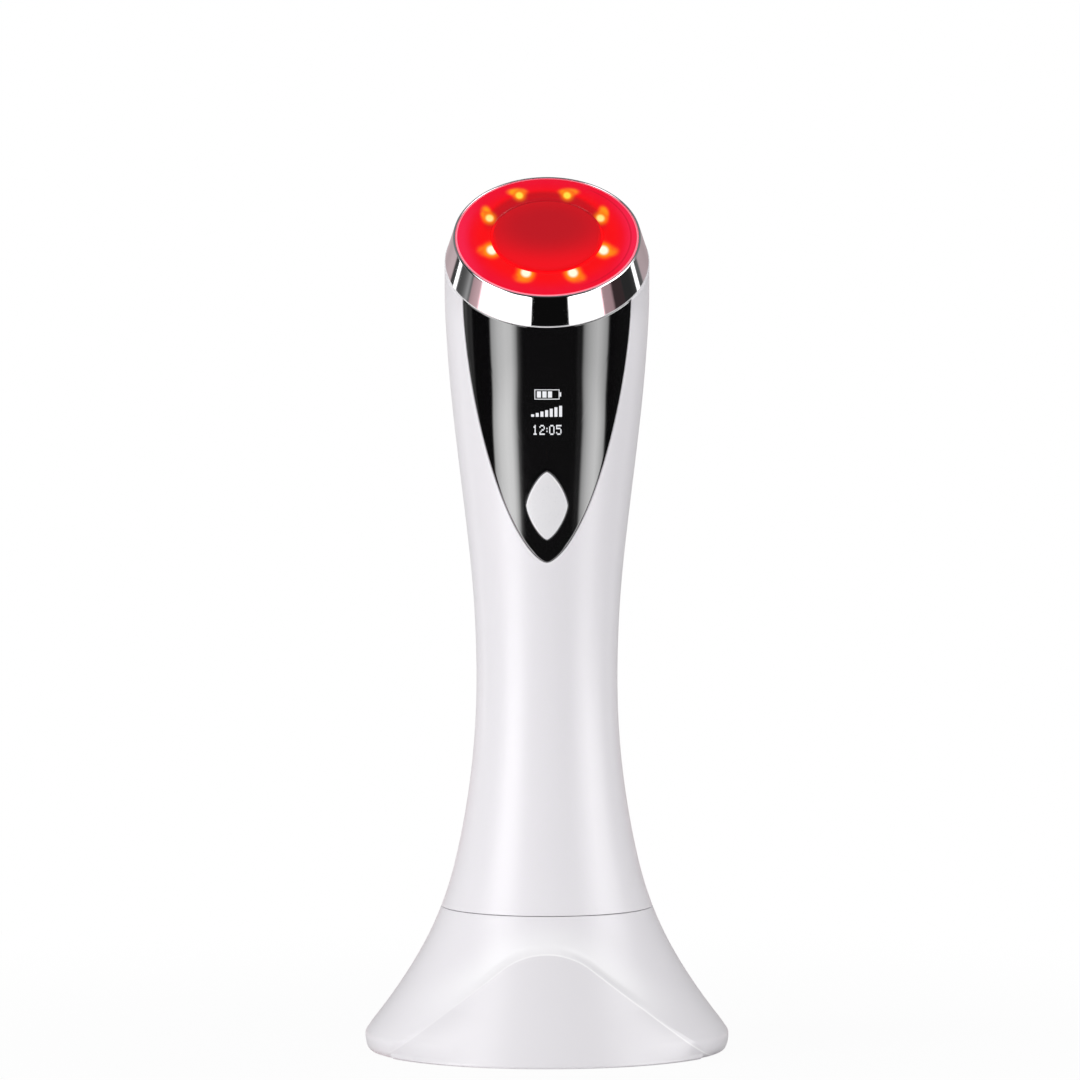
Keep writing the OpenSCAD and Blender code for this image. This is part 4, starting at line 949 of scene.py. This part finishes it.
def arch_outline():
    """Right half of the arch's outline in a front view: round crest, straight slope and upright foot."""
    arc_n, slope_n, foot_n = 26, 60, 5
    a = np.linspace(0, ARCH_FALL, arc_n + 1)
    crest = stack(ARCH_R * np.sin(a), ARCH_H - ARCH_R * (1 - np.cos(a)))
    corner = np.array([ARCH_W, crest[-1, 1] - (ARCH_W - crest[-1, 0]) * math.tan(ARCH_FALL)])
    slope = between(crest[-1], corner, shares(slope_n)[:, None])
    foot = between(corner, [ARCH_W, FOOT_Z], shares(foot_n)[:, None])
    return np.vstack([crest, slope, foot]).T


def dock():
    core_n, above_n, far_n = 26, 9, 44
    cavity_r, foot_round, crease, front_max, slant, rim_r = 33.4, 0.3, 0.16, 38.12, 1.15, 0.16
    out_x, out_z = arch_outline()
    count, out_r = len(out_x), cone(out_z)
    a_th, a_v = np.arcsin(out_x / out_r), v_of_z(out_z)
    sheet = Mesh()

    def push(theta, r, z):
        inner = np.minimum(cavity_r, np.minimum(r, flank(z)) - WALL)
        return sheet.add(stack(theta, r, z, inner))

    # Ways along and across the outline, on the face
    d_th, d_v = np.gradient(a_th) * out_r, np.gradient(a_v) * slant
    length = np.hypot(d_th, d_v)
    n_th, n_v = (np.convolve(np.pad(n / length, 3, "edge"), np.ones(7) / 7, "valid") for n in (-d_v, d_th))
    n_th[0], n_v[0], n_v[-1] = 0, 1, 0
    size = np.hypot(n_th, n_v)
    n_th, n_v = n_th / size, n_v / size
    # The band that falls from the arch to the flare is narrower towards the foot
    band = 2.4 - 1.4 * np.clip((np.linspace(0, 1, count) - 0.6) / 0.3, 0, 1)

    def across(d):
        """The outline moved outward by d, which may be one value a point."""
        return a_th + n_th * d / out_r, np.maximum(a_v + n_v * d / slant, V_LOW)

    def face(v, d, b):
        """Radius and height of the dock at v and a distance d outside the arch, with a band of width b."""
        lift_reach = 9.0
        r_f, z = dock_profile(v)
        r_c = np.minimum(cone(z), front_max) - edge_depth(z - FOOT_Z, foot_round)
        bend = 1 - (d + crease) ** 2 / (2 * crease * b)
        fall = np.where(d <= -crease, 1.0, np.where(d < crease, bend, np.clip(1 - d / b, 0, 1) ** 2))
        lift = np.maximum(r_f - r_c, 0) * np.where(d < 0, np.clip(1 + d / lift_reach, 0, 1) ** 2, 1)
        r = np.where(d < 0, r_c + lift, r_f)
        return r + np.maximum(r_c - r_f, 0) * np.where(d < 0, fall - 1, fall), z

    # The arch's face: rows from the middle to just inside its outline
    end_th, end_v = across(-2 * crease)
    middle = np.linspace(end_v[0], V_LOW, count)
    line = stack(a_th * out_r, a_v * slant)
    rows = []
    u = np.linspace(0, 1, core_n + 1)
    for i in range(count):
        v = between(middle[i], end_v[i], u)
        th = end_th[i] * u
        here = stack(th * cone(dock_profile(v)[1]), v * slant)
        d = -np.sqrt(((here[:, None] - line[None]) ** 2).sum(-1).min(1))
        rows.append(push(th, *face(v, d, 1.0)))
    faces = quads(rows)

    # Strips across the outline, and the band
    lines = [[row[-1] for row in rows]]
    steps = [crease * k for k in (-1, -0.5, 0, 0.5, 1)]
    for d in [*steps, *(band * s for s in (0.13, 0.2, 0.3, 0.42, 0.55, 0.7, 0.85, 1, 1.2))]:
        last_th, last_v = across(d)
        lines.append(push(last_th, *face(last_v, np.broadcast_to(d, last_v.shape), band)))
    faces += quads(list(zip(*lines)))

    # The rest, round to the back
    v_rim = [DOCK_H - e * rim_r for e, _ in ROUND]
    low_rim, crest_v, total = v_rim[-1], last_v[0], above_n + count - 1
    starts = [(0.0, v, v) for v in v_rim]
    for k in range(1, total + 1):
        i = k - above_n
        start = (0.0, between(low_rim, crest_v, k / above_n)) if i < 0 else (last_th[i], last_v[i])
        starts.append((*start, between(low_rim, V_LOW, k / total)))
    head_rows = len(v_rim) + above_n - 1
    near = [0, 0.012, 0.026, 0.042, 0.06, 0.082, 0.108, 0.14]
    u = np.concatenate([near, np.linspace(near[-1], 1, far_n + 1)[1:]])
    rows = []
    for k, (th0, v0, v1) in enumerate(starts):
        r, z = dock_profile(between(v0, v1, u))
        row = push(between(th0, math.pi, u), r - edge_depth(DOCK_H - z, rim_r), z)
        if k >= head_rows:
            row[0] = lines[-1][k - head_rows]
        rows.append(row)
    theta, radius, height, inner_r = np.array(sheet.v).T

    # Block of cells that the inlet's pocket takes the place of
    def side_x(i):
        return radius[i] * math.sin(theta[i])

    cols, gauge_row = len(rows[0]), rows[head_rows + 40]
    half_w, half_h = POCKET[0] / 2 + BOSS_MARGIN + 1.2, POCKET[1] / 2 + BOSS_MARGIN + 1.0
    j0 = max(j for j in range(cols) if side_x(gauge_row[j]) > half_w)
    level = [k for k, row in enumerate(rows) if abs(height[row[-1]] - POCKET_Z) < half_h]
    i0, i1 = level[0], level[-1]
    for k, (p, q) in enumerate(zip(rows, rows[1:])):
        for j in range(j0 if i0 <= k < i1 else cols - 1):
            faces.append((p[j], p[j + 1], q[j + 1], q[j]))
    block = [rows[i0][j] for j in range(cols - 1, j0, -1)] + [rows[i][j0] for i in range(i0, i1 + 1)]
    block += [rows[i1][j] for j in range(j0 + 1, cols)]

    # Inner sheet, whose top is squeezed to end under the cup's ledge
    ledge_low, squeeze, seat_r, seat_z, ledge_r = 27.2, 22.0, 20.4, 28.7, 18.9
    high = height > squeeze
    z_in = np.where(high, between(squeeze, ledge_low, (height - squeeze) / (DOCK_H - squeeze)), height)
    r_in = np.where(high, flank(z_in) - WALL, inner_r)
    top = rows[0]
    mesh = Mesh()
    va, vb = thicken(mesh, ring_point(radius, theta, height), ring_point(r_in, theta, z_in), faces,
                     skip=set(block) | set(top))

    # Rim, the seat of the cup's flange and the ledge
    loops = [[va[i] for i in top]]
    for r, z in ((seat_r, DOCK_H), (seat_r, seat_z), (ledge_r, seat_z), (ledge_r, ledge_low)):
        loops.append(mesh.add(ring_point(r, theta[top], z)))
    mesh.join([*loops, [vb[i] for i in top]])

    # The inlet's pocket and slot, and the boss round them
    angles = np.array([math.atan2(height[i] - POCKET_Z, side_x(i)) for i in block])
    angles[0], angles[-1] = math.pi / 2, -math.pi / 2

    def wall(size, r, margin=0.0, y=None, depth=0.0):
        """A rounded outline with a margin, in the plane of y or on the flare moved in by depth."""
        x, z = rounded_rect(angles, size[0] + 2 * margin, size[1] + 2 * margin, r)
        x[0] = x[-1] = 0
        z = z + POCKET_Z
        if y is None:
            y = np.sqrt(np.maximum((flank(z) - depth) ** 2 - x * x, 0))
        return stack(x, y, z)

    mouth_r = 0.35
    mouth = wall(POCKET, POCKET_ROUND + mouth_r, mouth_r)
    th0, z0 = theta[block], height[block]
    th1, z1 = np.arctan2(mouth[:, 0], -mouth[:, 1]), mouth[:, 2]
    walls = [ring_point(flank(between(z0, z1, s)), between(th0, th1, s), between(z0, z1, s))
             for s in (0.34, 0.67)]
    walls += [wall(POCKET, POCKET_ROUND + e * mouth_r, e * mouth_r, depth=d * mouth_r)
              for e, d in ROUND[::-1]]
    walls += [wall(POCKET, POCKET_ROUND, y=POCKET_Y), wall(SLOT, SLOT_ROUND, y=POCKET_Y),
              wall(SLOT, SLOT_ROUND, y=BOSS_Y), wall(POCKET, BOSS_ROUND, BOSS_MARGIN, y=BOSS_Y),
              wall(POCKET, BOSS_ROUND, BOSS_MARGIN, depth=WALL)]
    mesh.join([[va[i] for i in block], *(mesh.add(w) for w in walls), [vb[i] for i in block]])
    finish_mesh("dock_casing", mesh, "dock", "pearl_white", "dock_shell", mirror=True, sharp=32,
                finish="dock_pearl")


front_shell()
rear_shell()
display_panel()
button()
display_marks()
head_pieces()
dock()
pin_springs()


# ---- stage, light and camera

def stage():
    """Pale floor: plain white to the camera, but for a little of its shading close to the dock."""
    half, white_near, near, far = 20.0, 0.93, 0.05, 0.25
    data = bpy.data.meshes.new("floor")
    corners = [(-half, -half, 0), (half, -half, 0), (half, half, 0), (-half, half, 0)]
    data.from_pydata(corners, [], [(0, 1, 2, 3)])
    floor = new_object("floor", data)
    mat = bpy.data.materials.new("floor")
    n = Nodes(mat)
    colour = n.mix(n.noise(3.0, 2.0, n.place()), (0.77, 0.77, 0.775), (0.8, 0.8, 0.805))
    distance = n.value("VectorMath", {0: n.place()}, "Value", operation="LENGTH")
    white = n.value("LightPath", output="Is Camera Ray") * distance.ramp(near, far, white_near, 1.0)
    shaded = n.value("BsdfDiffuse", {"Color": colour})
    shader = n.mix_shader(white, shaded, n.value("Emission", {"Strength": 1.0}))
    n.new("OutputMaterial", {"Surface": shader})
    data.materials.append(mat)
    floor.visible_glossy = False


# Studio seen in glossy faces: azimuth in degrees from the front and brightness, level and from below
LEVEL = [(-180, 0.5), (-136, 0.5), (-133.5, 0.05), (-127.8, 0.05), (-126.6, 2.2), (-123, 2.2),
         (-121.8, 0.1), (-117, 0.1), (-113, 0.135), (-110, 0.21), (-106, 0.36), (-101, 0.01), (-75.5, 0.01),
         (-74.5, 0.2), (-72.5, 2.0), (-63, 3.1), (-53, 3.6), (-46, 3.4), (-42, 2.5), (-39, 1.6),
         (-36.5, 0.4), (-33, 0.08), (-30, 0.02), (37, 0.02), (39, 0.07), (43, 0.07), (44.5, 0.1), (46, 0.8),
         (48.5, 1.6), (54, 2.3), (60, 2.8), (66, 3.1), (71, 2.75), (78.5, 1.9), (80.2, 1.2), (81.7, 0.2),
         (83.7, 0.01), (112, 0.03), (119.6, 0.05), (120.8, 2.0), (124.8, 2.0), (126, 0.08), (132, 0.1),
         (134.5, 0.4), (180, 0.4)]
BELOW = [(-180, 0.5), (-112, 0.2), (-106, 0.29), (-100, 0.45), (-90.5, 0.67), (-89.2, 2.2), (-25, 2.2),
         (-22.5, 0.004), (31.5, 0.004), (34, 2.2), (75.5, 2.2), (76.5, 0.42), (88, 0.36), (89.3, 0.04),
         (180, 0.04)]
# What the pearl body's right flank sees besides, from a little below level upwards
FLANK_LIGHT = [(-180, 0.0), (55, 0.0), (70, 2.3), (78, 3.5), (94, 3.5), (102, 0.3), (110, 0.0), (180, 0.0)]
PEAK = 5.0


def studio():
    """World: a studio to glossy and transmission rays, white to the camera, and plain to all others."""
    world = bpy.data.worlds.new("studio")
    bpy.context.scene.world = world
    n = Nodes(world)
    x, y, height = n.split(n.value("TexCoord", output="Generated"))
    azimuth = x.math("ARCTAN2", y * -1.0)
    side = abs(azimuth)
    # The strips spread a little towards the panel's top, which keeps them upright on it
    spread = height.ramp(-0.28, -0.21, 1.0, 1.07) - height.ramp(-0.15, -0.1, 0.0, 0.05)
    spread = (spread - 1.0) * side.ramp(104 * RAD, 95 * RAD) + 1.0
    turn = azimuth * spread * (0.5 / math.pi) + 0.5

    def band(stops):
        node = n.new("FloatCurve", {"Value": turn})
        curve = node.mapping.curves[0]
        while len(curve.points) < len(stops):
            curve.points.new(0.5, 0.5)
        for p, (a, value) in zip(curve.points, stops):
            p.location = ((a + 180) / 360, value / PEAK)
            p.handle_type = "VECTOR"
        node.mapping.update()
        return Value(n, node.outputs[0]) * PEAK

    # Brightness by height: level and below, then the light on the flank, the rear, and fades up and down
    level = band(LEVEL) * (height.ramp(-0.28, -0.18, 1.0, 0.8) + height.ramp(-0.14, -0.09, 0.0, 0.36))
    down = (height - side.ramp(88 * RAD, 97 * RAD, 0.0, 0.065)).ramp(-0.33, -0.35)
    seen = level.toward(band(BELOW), down).toward(0.5, height.ramp(0.9, 0.96))
    seen = band(FLANK_LIGHT) * height.ramp(-0.13, -0.09) + seen
    seen = seen.toward(0.35, side.ramp(95 * RAD, 105 * RAD) * height.ramp(-0.02, 0.04))
    seen = seen * height.ramp(-0.06, 0.12, 1.0, 0.86) * height.ramp(0.3, 0.75, 1.0, 0.62)
    seen = seen.toward(0.9, height.ramp(-0.8, -0.86))

    # Rosy where the photograph's reflections are: low at the sides, and at the rear just below level
    rear = side.ramp(130 * RAD, 136 * RAD, 0.0, 0.6) * height.ramp(0.05, 0.0) * height.ramp(-0.079, -0.067)
    rosy = greatest(down * side.ramp(72 * RAD, 76 * RAD), rear)
    painted = n.value("Background", {"Color": n.mix(rosy, (1, 1, 1), (1, 0.67, 0.71)), "Strength": seen})
    plain = n.value("Background", {"Color": (0.995, 0.99, 1.0), "Strength": 0.78})
    white = n.value("Background", {"Color": (1, 1, 1)})
    camera_ray, glossy, through = (n.value("LightPath", output=f"Is {word} Ray")
                                   for word in ("Camera", "Glossy", "Transmission"))
    shader = n.mix_shader(camera_ray, n.mix_shader(greatest(glossy, through), plain, painted), white)
    n.new("OutputWorld", {"Surface": shader})


def lamp(name, place, size, power):
    """Soft rectangular lamp turned to the middle of the object, unseen in glossy faces."""
    aim = Vector((0, 0, 0.09))
    data = bpy.data.lights.new(name, "AREA")
    data.shape = "RECTANGLE"
    data.size, data.size_y = size
    data.energy = power
    obj = new_object(name, data)
    obj.location = place
    obj.rotation_euler = (aim - Vector(place)).to_track_quat("-Z", "Y").to_euler()
    obj.visible_glossy = False


def camera():
    """Long lens, three metres away, looking slightly down, as the photograph was taken."""
    frame_px, look_down, shift_up_px, turn_px = 1080, 4.75, 0.32, 7
    data = bpy.data.cameras.new("camera")
    data.sensor_width = 36.0
    data.lens = 472.7
    data.clip_start, data.clip_end = 0.1, 60.0
    obj = new_object("camera", data)
    pixel = data.sensor_width / (data.lens * frame_px)
    obj.location = (0, -2.966, 0.3537)
    obj.rotation_euler = ((90 - look_down) * RAD + shift_up_px * pixel, 0, turn_px * pixel)
    bpy.context.scene.camera = obj


stage()
studio()
lamp("key", (-1.7, -0.79, 0.42), (1.0, 1.4), 16.8)
lamp("fill", (1.4, -1.6, 0.5), (1.0, 1.2), 7.3)
camera()
bpy.context.scene.view_settings.view_transform = "Standard"
